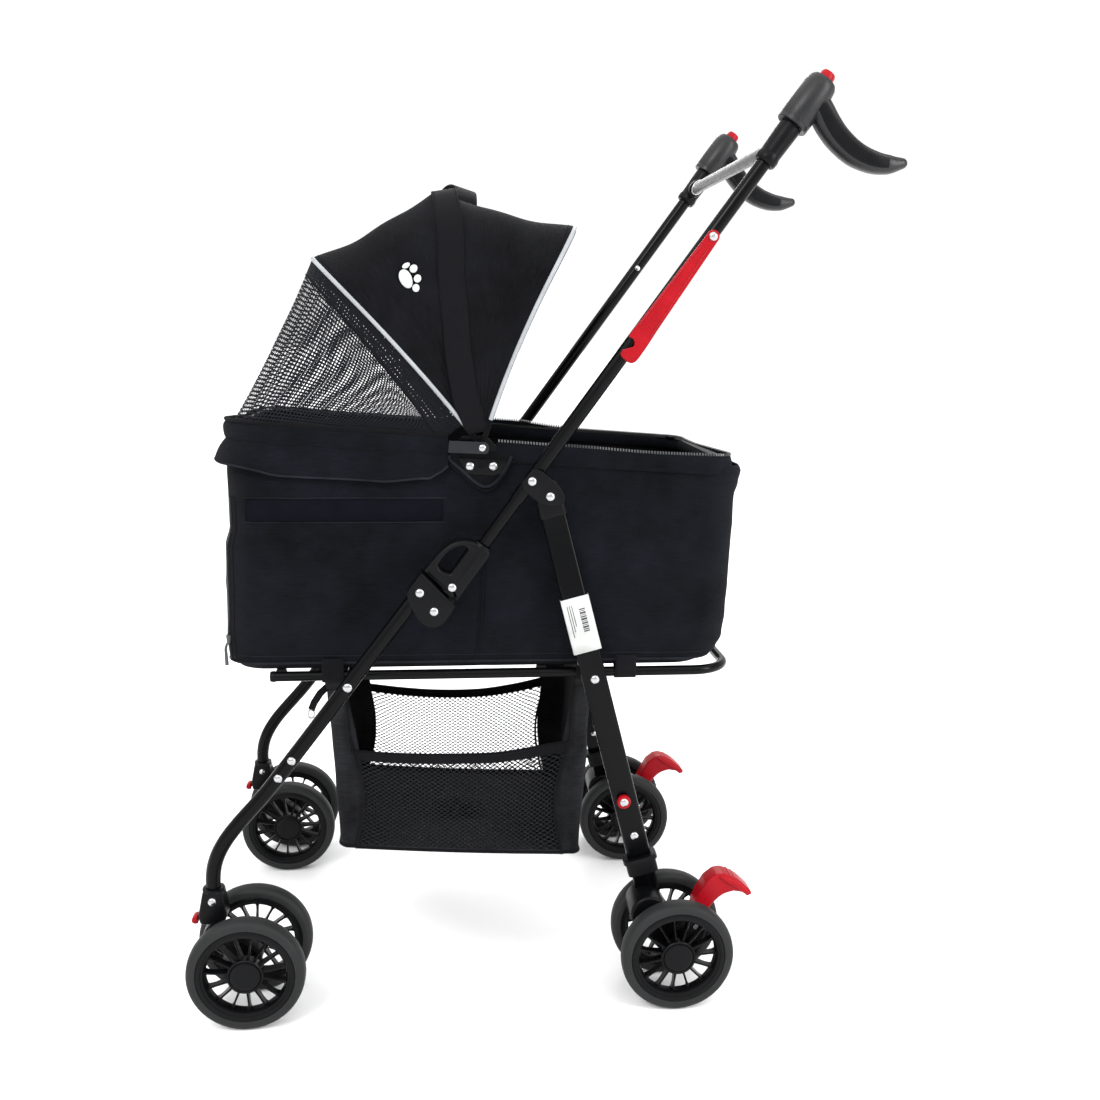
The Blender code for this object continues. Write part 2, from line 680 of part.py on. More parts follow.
def storage_basket():
    """Open-topped basket whose end panels rise to the base rails."""
    steps = 3
    bottom = rounded_plan(BASKET[0] + 0.010, BASKET[1] - 0.006, BASKET_HALF_WIDTH - 0.006, 0.015, steps)
    top = rounded_plan(BASKET[0], BASKET[1], BASKET_HALF_WIDTH, 0.015, steps)
    rows = []
    for level in (0.0, 0.45, 1.0):
        row = []
        for i, ((x0, y0), (x1, y1)) in enumerate(zip(bottom, top)):
            at_end = i % (2 * (steps + 1)) not in (0, 2 * steps + 1)
            high = BASKET_END_TOP if at_end else BASKET_SIDE_TOP
            point = (x0 + (x1 - x0) * level, BASKET_FLOOR + (high - BASKET_FLOOR) * level)
            row.append(at(point, y0 + (y1 - y0) * level))
        rows.append(row)
    return sheet("storage_basket", rows, BASKET_WALL, MESH, -1.0, closed=True)


def floor_board():
    under = FLOOR_Z + BAG_WALL + 0.0006
    low = at((0.004, under), -BOARD_HALF_WIDTH)
    high = at((0.462, under + BOARD_THICKNESS), BOARD_HALF_WIDTH)
    return box("floor_board", low, high, BOARD)


def bow_route(angle, length, half_width, start, extra=0.0):
    """World points along a bow: up one side, across and down the other."""
    corner = BOW_CORNER + extra
    flat = half_width + extra
    reach = length + extra
    plane = [(-flat, start)]
    plane += arc((-flat + corner, reach - corner), corner, 180, 90, 4)
    plane += arc((flat - corner, reach - corner), corner, 90, 0, 4)
    plane.append((flat, start))
    slope = math.radians(angle)
    return [at(along(CANOPY_PIVOT, slope, distance), y) for y, distance in plane]


BOWS = {
    "canopy_bow_front": (132.5, 0.2560, 0.1560),
    "canopy_bow_middle": (100.0, 0.2620, RIM_HALF_WIDTH),
    "canopy_bow_rear": (66.5, 0.2460, 0.1615),
}


def canopy_bow(name):
    angle, length, half_width = BOWS[name]
    start = 0.0120 if name == "canopy_bow_middle" else 0.0
    return tube(name, bow_route(angle, length, half_width, start), BOW_RADIUS, BOW, detail=1)


def canopy_panel(name, first, second, half_width):
    """Fabric stretched outside two bows."""
    angle_one, length_one, _ = BOWS[first]
    angle_two, length_two, _ = BOWS[second]
    lean = 1.0 if angle_two > angle_one else -1.0
    one = bow_route(angle_one + 0.3 * lean, length_one, half_width, FABRIC_START, FABRIC_STANDOFF)
    two = bow_route(angle_two - 0.6 * lean, length_two, half_width, FABRIC_START, FABRIC_STANDOFF)
    rows = [[a.lerp(b, t) for a, b in zip(one, two)] for t in (0.0, 0.5, 1.0)]
    return sheet(name, rows, CANOPY_WALL, FABRIC)


def canopy_mesh():
    """See-through front, from the front bow down to the carrier's rim."""
    angle, length, half_width = BOWS["canopy_bow_front"]
    upper = bow_route(angle + 0.6, length, half_width, FABRIC_START, FABRIC_STANDOFF)
    front = RIM_FRONT[0] + 0.004
    corner = RIM_CORNER
    flat = RIM_HALF_WIDTH + 0.0015
    plan = [(0.2150, -flat)]
    plan += arc((front + corner, -flat + corner), corner, 270, 180, 4)
    plan += arc((front + corner, flat - corner), corner, 180, 90, 4)
    plan.append((0.2150, flat))
    lower = [at((x, rim_z(x) + 0.0085), y) for x, y in plan]
    rows = [[a.lerp(b, t) for a, b in zip(upper, lower)] for t in (0.0, 0.5, 1.0)]
    return sheet("canopy_mesh", rows, MESH_WALL, MESH)


def build():
    tyre, rim = tyre_mesh(), rim_mesh()
    for label, side in SIDES.items():
        front_leg(f"front_leg_{label}", side)
        fold_bracket(f"fold_bracket_{label}", side)
        lock_sleeve(f"lock_sleeve_{label}", side)
        handle_tube(f"handle_tube_{label}", side)
        handle_collar(f"handle_collar_{label}", side)
        grip(f"grip_{label}", side)
        grip_button(f"grip_button_{label}", side)
        leg_bracket(f"leg_bracket_{label}", side)
        rear_leg(f"rear_leg_{label}", side)
        rear_leg_cap(f"rear_leg_cap_{label}", side)
        caster_socket(f"caster_socket_{label}", side)
        caster_fork(f"caster_fork_{label}", side)
        swivel_tab(f"swivel_tab_{label}", side)
        wheel_housing(f"wheel_housing_{label}", side)
        brake_pedal(f"brake_pedal_{label}", side)
        wheel_pair(f"front_{label}", (0.0, WHEEL_RADIUS), side * TUBE_Y, tyre, rim)
        wheel_pair(f"rear_{label}", (WHEELBASE, WHEEL_RADIUS), side * REAR_WHEEL_Y, tyre, rim)
    handle_crossbar()
    hook_latch()
    hook_bush()
    base_frame()
    rim_frame()
    carrier_bag()
    floor_board()
    storage_basket()
    for name in BOWS:
        canopy_bow(name)
    canopy_panel("canopy_front_panel", "canopy_bow_middle", "canopy_bow_front", 0.1560)
    canopy_panel("canopy_rear_panel", "canopy_bow_rear", "canopy_bow_middle", 0.1615)
    canopy_mesh()


build()
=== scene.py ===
"""Looks of a folding pet stroller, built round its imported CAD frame.

Metres, in the frame's own axes: +Z up, -X towards the front casters, -Y the stroller's left.
Side-view points are (x, z) with x measured rearwards from the front axle, as in the CAD source.
"""

import json
import math

import bmesh
import bpy
from mathutils import Matrix, Vector, noise


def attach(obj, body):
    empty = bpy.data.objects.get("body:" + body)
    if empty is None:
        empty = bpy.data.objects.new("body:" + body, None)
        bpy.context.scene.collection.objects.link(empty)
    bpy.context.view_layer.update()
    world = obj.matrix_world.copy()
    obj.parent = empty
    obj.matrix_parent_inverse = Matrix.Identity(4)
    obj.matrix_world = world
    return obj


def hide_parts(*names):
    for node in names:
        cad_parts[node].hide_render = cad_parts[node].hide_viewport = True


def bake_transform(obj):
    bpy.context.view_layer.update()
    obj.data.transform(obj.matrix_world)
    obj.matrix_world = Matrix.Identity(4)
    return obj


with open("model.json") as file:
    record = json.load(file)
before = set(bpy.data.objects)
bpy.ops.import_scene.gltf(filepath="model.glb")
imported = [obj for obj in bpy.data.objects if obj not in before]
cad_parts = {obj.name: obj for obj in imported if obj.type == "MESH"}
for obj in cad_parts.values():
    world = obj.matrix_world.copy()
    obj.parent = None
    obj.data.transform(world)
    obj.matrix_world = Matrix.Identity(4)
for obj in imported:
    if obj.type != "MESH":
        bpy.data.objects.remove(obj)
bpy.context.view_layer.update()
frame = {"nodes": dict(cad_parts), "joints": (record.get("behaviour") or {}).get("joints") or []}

JOINTS = {joint["name"]: joint for joint in frame["joints"]}
FRONT = JOINTS["wheel_front_left_outer_spin"]["pos_m"][0]
SIDES = {"left": -1, "right": 1}

# Side-view points and sizes of the CAD source
LEG_PIVOT = (0.1101, 0.3664)
REAR_PIVOT = (0.3743, 0.3648)
FOLD_PIVOT = (0.2018, 0.4464)
BRACKET_PIVOT = (0.3203, 0.5691)
CANOPY_PIVOT = (0.2515, 0.6160)
HOOK_PIVOT = (0.4804, 0.8315)
HOOK_BUSH = (0.4093, 0.2237)
PEDAL_PIVOT = (0.4900, 0.0840)
CASTER_AXIS = -0.0375
LEG_SLOPE = math.radians(53.0)
HANDLE_SLOPE = math.radians(54.25)
TUBE_Y = 0.185
REAR_LEG_Y = 0.1665
REAR_WHEEL_Y = 0.183
RAIL_Y = 0.145
RAIL_Z = 0.3655
TWIN_WHEEL_OFFSET = 0.037
WHEELBASE = 0.4655
FLOOR_Z = 0.3735


def W(point, y=0.0):
    """World position of a side-view point at a distance y from the middle plane."""
    return Vector((FRONT + point[0], y, point[1]))


def along(origin, slope, distance, across=0.0):
    return (
        origin[0] + distance * math.cos(slope) - across * math.sin(slope),
        origin[1] + distance * math.sin(slope) + across * math.cos(slope),
    )


def up_handle(distance, across=0.0):
    return along(FOLD_PIVOT, HANDLE_SLOPE, distance, across)


REAR_LEG_SLOPE = math.atan2(REAR_PIVOT[1] - BRACKET_PIVOT[1], REAR_PIVOT[0] - BRACKET_PIVOT[0])


def down_leg(distance, across=0.0):
    return along(BRACKET_PIVOT, REAR_LEG_SLOPE, distance, across)


def arc(centre, radius, start, end, count):
    angles = [math.radians(start + (end - start) * i / count) for i in range(count + 1)]
    return [(centre[0] + radius * math.cos(a), centre[1] + radius * math.sin(a)) for a in angles]


def bezier(p, q, r, s, count):
    points = []
    for i in range(count + 1):
        t = i / count
        w = ((1 - t) ** 3, 3 * t * (1 - t) ** 2, 3 * t * t * (1 - t), t**3)
        points.append(tuple(sum(a * c[k] for a, c in zip(w, (p, q, r, s))) for k in (0, 1)))
    return points


def spline(points, count):
    """A smooth line through points of any dimension, count steps to each span."""
    pts = [Vector(p) for p in points]
    ends = [2 * pts[0] - pts[1], *pts, 2 * pts[-1] - pts[-2]]
    out = []
    for i in range(1, len(ends) - 2):
        a, b, c, d = ends[i - 1 : i + 3]
        for k in range(count):
            t = k / count
            out.append(
                0.5
                * (
                    2 * b + (c - a) * t + (2 * a - 5 * b + 4 * c - d) * t**2 + (3 * b - a - 3 * c + d)
                    * t**3
                )
            )
    out.append(pts[-1])
    return out


def rounded(outline, radius, steps=4):
    """An outline with its corners rounded. radius is one value, or one for each corner."""
    count = len(outline)
    radii = radius if isinstance(radius, (list, tuple)) else [radius] * count
    out = []
    for i, r in enumerate(radii):
        here = Vector(outline[i])
        before, after = Vector(outline[i - 1]) - here, Vector(outline[(i + 1) % count]) - here
        cut = min(r, before.length * 0.49, after.length * 0.49)
        a, b = here + before.normalized() * cut, here + after.normalized() * cut
        for k in range(steps + 1):
            t = k / steps
            out.append(tuple((1 - t) ** 2 * a + 2 * t * (1 - t) * here + t * t * b))
    return out


def belt(first, r1, second, r2, count=12):
    lean = math.degrees(math.atan2(second[1] - first[1], second[0] - first[0]))
    spread = math.degrees(math.acos((r1 - r2) / math.dist(first, second)))
    outline = arc(second, r2, lean - spread, lean + spread, count)
    return outline + arc(first, r1, lean + spread, lean + 360 - spread, count)


# Materials


class Nodes:
    """Short words for building a material's nodes."""

    def __init__(self, name, colour, roughness, metallic=0.0, sheen=0.0, coat=0.0, specular=0.2):
        self.made = bpy.data.materials.new(name)
        self.made.use_nodes = True
        self.tree = self.made.node_tree
        self.shader = self.tree.nodes["Principled BSDF"]
        self.shader.inputs["Base Color"].default_value = (*colour, 1.0)
        self.shader.inputs["Roughness"].default_value = roughness
        self.shader.inputs["Metallic"].default_value = metallic
        self.shader.inputs["Sheen Weight"].default_value = sheen
        self.shader.inputs["Sheen Roughness"].default_value = 0.5
        self.shader.inputs["Coat Weight"].default_value = coat
        self.shader.inputs["Specular IOR Level"].default_value = specular

    def add(self, kind, **values):
        node = self.tree.nodes.new(kind)
        for key, value in values.items():
            if key in node.inputs:
                node.inputs[key].default_value = value
            else:
                setattr(node, key, value)
        return node

    def link(self, output, node, socket):
        self.tree.links.new(output, node.inputs[socket])

    def coords(self, kind="Object"):
        return self.add("ShaderNodeTexCoord").outputs[kind]

    def noise(self, vector, scale, detail=3.0, rough=0.5):
        node = self.add("ShaderNodeTexNoise", Scale=scale, Detail=detail, Roughness=rough)
        self.link(vector, node, "Vector")
        return node.outputs["Fac"]

    def remap(self, value, low, high, from_low=0.0, from_high=1.0):
        node = self.add("ShaderNodeMapRange")
        self.link(value, node, "Value")
        for key, number in (
            ("From Min", from_low), ("From Max", from_high), ("To Min", low), ("To Max", high)
        ):
            node.inputs[key].default_value = number
        return node.outputs["Result"]

    def math(self, operation, a, b=None):
        node = self.add("ShaderNodeMath", operation=operation)
        for socket, value in enumerate((a, b)):
            if value is None:
                continue
            if isinstance(value, (int, float)):
                node.inputs[socket].default_value = value
            else:
                self.tree.links.new(value, node.inputs[socket])
        return node.outputs[0]

    def tint(self, value, dark, light):
        """Base colour between two colours by a 0 to 1 value."""
        node = self.add("ShaderNodeMix", data_type="RGBA")
        self.link(value, node, 0)
        node.inputs[6].default_value = (*dark, 1.0)
        node.inputs[7].default_value = (*light, 1.0)
        self.link(node.outputs[2], self.shader, "Base Color")
        return node.outputs[2]

    def bump(self, height, distance, strength=1.0):
        node = self.add("ShaderNodeBump", Distance=distance, Strength=strength)
        self.link(height, node, "Height")
        self.link(node.outputs["Normal"], self.shader, "Normal")

    def rough(self, value):
        self.link(value, self.shader, "Roughness")


def hard(name, colour, roughness, grain, depth, spread=0.08, **more):
    """Moulded, coated or cast finish: fine grain in the bump, slow change in roughness and tone."""
    n = Nodes(name, colour, roughness, **more)
    at = n.coords()
    n.bump(n.noise(at, grain, 4.0), depth, 0.6)
    slow = n.noise(at, 28.0, 5.0, 0.65)
    n.rough(n.remap(slow, roughness - spread, roughness + spread, 0.3, 0.7))
    n.tint(n.remap(slow, 0.0, 1.0, 0.3, 0.7), colour, tuple(c * 1.35 for c in colour))
    return n.made


def woven(name, colour, pitch, depth, roughness=0.85, sheen=0.02, contrast=2.7, blotch=0.75):
    """Plain weave along the UV map, which is in metres."""
    n = Nodes(name, colour, roughness, sheen=sheen, specular=0.06)
    split = n.add("ShaderNodeSeparateXYZ")
    n.link(n.coords("UV"), split, 0)
    turn = 2 * math.pi / pitch
    warp = n.math("SINE", n.math("MULTIPLY", split.outputs[0], turn))
    weft = n.math("SINE", n.math("MULTIPLY", split.outputs[1], turn))
    over = n.math("MULTIPLY", warp, weft)
    yarn = n.math("ADD", n.math("MULTIPLY", n.math("ABSOLUTE", warp), 0.5), n.math("MULTIPLY", over, 0.5))
    at = n.coords()
    stretch = n.add("ShaderNodeVectorMath", operation="MULTIPLY")
    n.link(n.coords("UV"), stretch, 0)
    stretch.inputs[1].default_value = (55.0, 900.0, 1.0)
    slub = n.noise(stretch.outputs[0], 1.0, 4.0)
    cloud = n.noise(at, 13.0, 6.0, 0.62)
    relief = n.math("ADD", n.math("MULTIPLY", slub, 1.6), n.math("MULTIPLY", cloud, 9.0))
    n.bump(n.math("ADD", yarn, relief), depth, 0.9)
    tone = n.math(
        "ADD", n.remap(cloud, 0.0, 1.0, 0.34, 0.66),
        n.math("MULTIPLY", n.remap(slub, -0.5, 0.5, 0.3, 0.7), 0.55)
    )
    shade = n.math(
        "ADD", n.math("MULTIPLY", n.remap(yarn, 0.0, 1.0, -0.5, 1.0), 1 - blotch),
        n.math("MULTIPLY", tone, blotch)
    )
    n.tint(shade, tuple(c * 0.30 for c in colour), tuple(c * contrast for c in colour))
    n.rough(n.remap(cloud, roughness - 0.08, roughness + 0.06, 0.3, 0.7))
    return n.made


def netting(name, colour, pitch, open_share, diamonds=False):
    """Knitted net with see-through holes, laid out in the UV map's metres."""
    n = Nodes(name, colour, 0.7, specular=0.1)
    split = n.add("ShaderNodeSeparateXYZ")
    n.link(n.coords("UV"), split, 0)
    u = n.math("DIVIDE", split.outputs[0], pitch)
    v = n.math("DIVIDE", split.outputs[1], pitch)
    if diamonds:
        total, gap = n.math("ADD", u, v), n.math("SUBTRACT", u, v)
        u, v = n.math("MULTIPLY", total, 0.7), n.math("MULTIPLY", gap, 0.7)
    du = n.math("ABSOLUTE", n.math("SUBTRACT", n.math("FRACT", u), 0.5))
    dv = n.math("ABSOLUTE", n.math("SUBTRACT", n.math("FRACT", v), 0.5))
    reach = n.math("POWER", n.math("ADD", n.math("POWER", du, 3.0), n.math("POWER", dv, 3.0)), 1 / 3)
    edge = 0.5 * math.sqrt(open_share)
    yarn = n.remap(reach, 0.0, 1.0, edge - 0.02, edge + 0.03)
    n.link(yarn, n.shader, "Alpha")
    n.bump(n.math("ADD", reach, n.noise(n.coords(), 1500.0)), 0.0004, 0.7)
    cloud = n.noise(n.coords(), 14.0)
    n.tint(cloud, tuple(c * 0.7 for c in colour), tuple(c * 1.4 for c in colour))
    return n.made


def webbing_material(name, colour):
    """Ribbed tape: fine ribs across its length."""
    n = Nodes(name, colour, 0.75, sheen=0.02, specular=0.08)
    split = n.add("ShaderNodeSeparateXYZ")
    n.link(n.coords("UV"), split, 0)
    ribs = n.math("SINE", n.math("MULTIPLY", split.outputs[0], 2 * math.pi / 0.0013))
    chevron = n.math(
        "SINE",
        n.math(
            "ADD", n.math("MULTIPLY", split.outputs[1], 2 * math.pi / 0.0016), n.math("MULTIPLY", ribs, 1.5)
        )
    )
    height = n.math("ADD", n.math("MULTIPLY", ribs, 0.5), n.math("MULTIPLY", chevron, 0.5))
    n.bump(height, 0.0003, 0.8)
    n.tint(
        n.remap(height, 0.0, 1.0, -1.0, 1.0), tuple(c * 0.6 for c in colour), tuple(c * 1.8 for c in colour)
    )
    return n.made


def polished(name, colour, roughness, grain):
    n = Nodes(name, colour, roughness, metallic=1.0)
    at = n.coords()
    n.bump(n.noise(at, grain, 3.0), 0.00003, 0.15)
    n.rough(n.remap(n.noise(at, 120.0, 5.0), roughness * 0.85, roughness * 1.25, 0.3, 0.7))
    n.tint(n.noise(at, 200.0), tuple(c * 0.85 for c in colour), colour)
    return n.made


FRAME = hard("powder_coat", (0.0010, 0.0011, 0.0014), 0.24, 900.0, 0.00003, 0.04, specular=0.10)
PLASTIC = hard("moulded_plastic", (0.0022, 0.0023, 0.0028), 0.36, 1400.0, 0.00010, 0.07, specular=0.10)
WHEEL = hard("wheel_plastic", (0.0020, 0.0021, 0.0025), 0.32, 1100.0, 0.00008, 0.07, specular=0.10)
TYRE = hard("foam_tyre", (0.0130, 0.0134, 0.0138), 0.55, 700.0, 0.00015, 0.08, specular=0.15)
GRIP = hard("soft_grip", (0.0040, 0.0042, 0.0050), 0.38, 1600.0, 0.00016, 0.06, specular=0.34)
RED = hard("red_plastic", (0.235, 0.0024, 0.0064), 0.34, 1000.0, 0.00005, 0.06, specular=0.12)
SILVER = polished("satin_aluminium", (0.165, 0.165, 0.168), 0.42, 120.0)
RIVET = polished("rivet_steel", (0.46, 0.46, 0.47), 0.20, 300.0)
WIRE = polished("wire_steel", (0.20, 0.20, 0.21), 0.35, 300.0)
CLOTH = woven("carrier_cloth", (0.0024, 0.0028, 0.0045), 0.0011, 0.00050)
LINING = woven("carrier_lining", (0.0025, 0.0026, 0.0034), 0.0014, 0.0003)
# Copy of the carrier cloth about three times lighter: painted highlight for edges, hems and seams where they
# catch the light.
LIT_EDGE_CLOTH = woven("cloth_edge_painted_highlight", (0.0085, 0.0092, 0.0125), 0.0011, 0.0003)
PAD = woven("floor_pad_cloth", (0.008, 0.008, 0.010), 0.0016, 0.0004, blotch=0.35)
BASKET_CLOTH = woven("basket_cloth", (0.0085, 0.0088, 0.0100), 0.0010, 0.0003)
TAPE = webbing_material("binding_tape", (0.0028, 0.0029, 0.0038))
HEAVY_TAPE = webbing_material("canopy_tape", (0.0027, 0.0027, 0.0038))
FUZZ = hard("loop_strip", (0.0036, 0.0040, 0.0060), 0.93, 1800.0, 0.0008, 0.02, specular=0.02)
PIPING = hard("reflective_piping", (0.25, 0.26, 0.27), 0.38, 2500.0, 0.0001, 0.08)
NET = netting("front_net", (0.0056, 0.0060, 0.0085), 0.0036, 0.40)
NET_DOUBLE = netting("front_net_double", (0.0030, 0.0033, 0.0048), 0.0036, 0.035)
BASKET_NET = netting("basket_net", (0.0070, 0.0073, 0.0085), 0.0048, 0.60, diamonds=True)
LABEL = hard("paper_label", (0.40, 0.41, 0.40), 0.7, 2000.0, 0.00005, 0.05)
INK = hard("print_ink", (0.035, 0.036, 0.040), 0.7, 2000.0, 0.00003, 0.05)
PRINT = hard("white_print", (0.42, 0.43, 0.43), 0.75, 2400.0, 0.00006, 0.05)
BAR = hard("pivot_bar", (0.008, 0.009, 0.011), 0.40, 900.0, 0.00006, specular=0.2)
TEETH = hard("zip_teeth", (0.016, 0.017, 0.019), 0.30, 900.0, 0.00005, specular=0.7)


# Pieces


def place(obj, body, slot, *replaced):
    """Puts a finished piece on its body and hides the CAD parts it replaces."""
    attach(obj, body)
    if replaced:
        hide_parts(*replaced)
    return obj


def link(name, mesh, *materials):
    made = bpy.data.objects.new(name, mesh)
    for finish in materials:
        mesh.materials.append(finish)
    bpy.context.scene.collection.objects.link(made)
    return made


def shade(mesh, angle=35):
    mesh.shade_smooth()
    mesh.set_sharp_from_angle(angle=math.radians(angle))


def from_curve(name, curve, matrix, finish, angle=35):
    made = bpy.data.objects.new(name, curve)
    made.matrix_world = matrix
    bpy.context.scene.collection.objects.link(made)
    bpy.context.view_layer.update()
    graph = bpy.context.evaluated_depsgraph_get()
    mesh = bpy.data.meshes.new_from_object(made.evaluated_get(graph))
    bpy.data.objects.remove(made, do_unlink=True)
    bpy.data.curves.remove(curve)
    mesh.transform(matrix)
    shape = bmesh.new()
    shape.from_mesh(mesh)
    bmesh.ops.remove_doubles(shape, verts=shape.verts, dist=1e-6)
    shape.to_mesh(mesh)
    shape.free()
    shade(mesh, angle)
    return link(name, mesh, finish)


def tube(name, points, radius, finish, radii=None, closed=False, detail=5, caps=True):
    curve = bpy.data.curves.new(name, "CURVE")
    curve.dimensions = "3D"
    curve.bevel_depth = radius
    curve.bevel_resolution = detail
    curve.use_fill_caps = caps and not closed
    line = curve.splines.new("POLY")
    line.points.add(len(points) - 1)
    for i, point in enumerate(points):
        line.points[i].co = (*point, 1.0)
        line.points[i].radius = radii[i] if radii else 1.0
    line.use_cyclic_u = closed
    return from_curve(name, curve, Matrix.Identity(4), finish)


def plate(name, outline, low, high, finish, holes=(), bevel=0.0008, detail=2):
    """Flat piece with a side-view outline and rounded edges, between two distances from the middle."""
    curve = bpy.data.curves.new(name, "CURVE")
    curve.dimensions = "2D"
    curve.fill_mode = "BOTH"
    curve.extrude = abs(high - low) / 2 - bevel
    curve.bevel_depth = bevel
    curve.bevel_resolution = detail
    curve.offset = -bevel
    for loop in (outline, *holes):
        line = curve.splines.new("POLY")
        line.points.add(len(loop) - 1)
        for i, (x, z) in enumerate(loop):
            line.points[i].co = (FRONT + x, z, 0.0, 1.0)
        line.use_cyclic_u = True
    matrix = Matrix.Translation((0, (low + high) / 2, 0)) @ Matrix.Rotation(math.pi / 2, 4, "X")
    return from_curve(name, curve, matrix, finish)


def lathe(name, profile, start, end, finish, segments=48, closed=False):
    """Profile points (distance from start, radius) turned round the line from start towards end."""
    axis = (Vector(end) - Vector(start)).normalized()
    side = axis.orthogonal().normalized()
    other = axis.cross(side)
    shape = bmesh.new()
    rings = []
    for distance, radius in profile:
        ring = []
        for i in range(segments):
            a = 2 * math.pi * i / segments
            ring.append(
                shape.verts.new(
                    Vector(start) + axis * distance + (side * math.cos(a) + other * math.sin(a)) * radius
                )
            )
        rings.append(ring)
    pairs = list(zip(rings, rings[1:])) + ([(rings[-1], rings[0])] if closed else [])
    for one, two in pairs:
        for i in range(segments):
            j = (i + 1) % segments
            shape.faces.new((one[i], one[j], two[j], two[i]))
    if not closed:
        shape.faces.new(rings[0])
        shape.faces.new(rings[-1])
    bmesh.ops.recalc_face_normals(shape, faces=shape.faces)
    mesh = bpy.data.meshes.new(name)
    shape.to_mesh(mesh)
    shape.free()
    shade(mesh)
    return link(name, mesh, finish)


def join(name, objects):
    """Several objects made one, keeping their materials."""
    first = objects[0]
    with bpy.context.temp_override(active_object=first, selected_editable_objects=objects):
        bpy.ops.object.join()
    first.name = name
    return first


def grid(name, rows, finish, thickness=0.0, closed=False, offset=1.0, uv=None, mask=None, levels=0):
    """Cloth over a grid of points, with a UV map in metres. mask(row, column) gives a material index."""
    shape = bmesh.new()
    layer = shape.loops.layers.uv.new("UVMap")
    verts = [[shape.verts.new(p) for p in row] for row in rows]
    columns = len(rows[0])
    spots = uv or metric(rows, closed)
    for r in range(len(rows) - 1):
        for c in range(columns if closed else columns - 1):
            d = (c + 1) % columns
            face = shape.faces.new((verts[r][c], verts[r][d], verts[r + 1][d], verts[r + 1][c]))
            if mask:
                face.material_index = mask(r, c)
            for loop, spot in zip(face.loops, ((r, c), (r, c + 1), (r + 1, c + 1), (r + 1, c))):
                loop[layer].uv = spots[spot[0]][spot[1]]
    mesh = bpy.data.meshes.new(name)
    shape.to_mesh(mesh)
    shape.free()
    mesh.shade_smooth()
    finishes = finish if isinstance(finish, (list, tuple)) else (finish,)
    made = link(name, mesh, *finishes)
    if levels:
        smooth = made.modifiers.new("smooth", "SUBSURF")
        smooth.levels = smooth.render_levels = levels
    if thickness:
        wall = made.modifiers.new("thickness", "SOLIDIFY")
        wall.thickness = thickness
        wall.offset = offset
    return made


def metric(rows, closed=False):
    """UV positions in metres: along each row from its middle, and down the columns."""
    across = []
    for row in rows:
        line = [0.0]
        for a, b in zip(row, row[1:]):
            line.append(line[-1] + (Vector(b) - Vector(a)).length)
        if closed:
            line.append(line[-1] + (Vector(row[0]) - Vector(row[-1])).length)
        middle = line[len(line) // 2]
        across.append([value - middle for value in line])
    down = [0.0]
    for one, two in zip(rows, rows[1:]):
        steps = [(Vector(b) - Vector(a)).length for a, b in zip(one, two)]
        down.append(down[-1] + sum(steps) / len(steps))
    return [[(u, v) for u in line] for line, v in zip(across, down)]


def tape(name, points, wides, width, thickness, finish, levels=1):
    """Flat webbing along points. wides holds its width direction, one for all or one for each point."""
    if not isinstance(wides, list):
        wides = [wides] * len(points)
    rows = []
    for point, wide in zip(points, wides):
        wide = Vector(wide).normalized()
        rows.append([Vector(point) + wide * width * k / 4 for k in (-2, -1, 0, 1, 2)])
    spots = metric(list(map(list, zip(*rows))))
    spots = [[(spots[c][r][0], spots[c][r][1]) for c in range(5)] for r in range(len(rows))]
    return grid(name, rows, finish, thickness, offset=0.0, uv=spots, levels=levels)


def rivets(name, spots, body, finish=RIVET):
    """Domed rivet heads. Each spot is (point on the surface, outward direction, radius)."""
    made = []
    for i, (point, outward, radius) in enumerate(spots):
        dome = [(0.0, radius), (0.0004, radius * 1.02), (0.0009, radius * 0.97)]
        dome += [
            (0.0009 + 0.0020 * math.sin(a), radius * 0.95 * math.cos(a)) for a in (0.3, 0.6, 0.9, 1.2, 1.45)
        ]
        dome += [(0.0026, radius * 0.13), (0.0024, 0.0002)]
        made.append(lathe(f"{name}_{i}", dome, point, Vector(point) + Vector(outward), finish, 24))
    return place(join(name, made), body, "frame")


# Camera, lights and floor


def camera():
    data = bpy.data.cameras.new("camera")
    data.sensor_width = 36.0
    data.lens = 37.637
    made = bpy.data.objects.new("camera", data)
    bpy.context.scene.collection.objects.link(made)
    bpy.context.scene.camera = made
    yaw, pitch, roll = math.radians(5.861), math.radians(10.855), math.radians(0.795)
    ahead = Vector((math.sin(yaw) * math.cos(pitch), math.cos(yaw) * math.cos(pitch), -math.sin(pitch)))
    right = Vector((math.cos(yaw), -math.sin(yaw), 0))
    above = right.cross(ahead)
    right_rolled = right * math.cos(roll) + above * math.sin(roll)
    above_rolled = above * math.cos(roll) - right * math.sin(roll)
    turn = Matrix((right_rolled, above_rolled, -ahead)).transposed().to_4x4()
    made.matrix_world = Matrix.Translation((FRONT + 0.20096, -1.36316, 0.73799)) @ turn


camera()


def area_light(name, spot, target, size, power, size_y=None):
    data = bpy.data.lights.new(name, "AREA")
    data.shape = "RECTANGLE"
    data.size = size
    data.size_y = size_y or size
    data.energy = power
    made = bpy.data.objects.new(name, data)
    bpy.context.scene.collection.objects.link(made)
    aim = (Vector(target) - Vector(spot)).to_track_quat("-Z", "Y")
    made.matrix_world = Matrix.Translation(spot) @ aim.to_matrix().to_4x4()


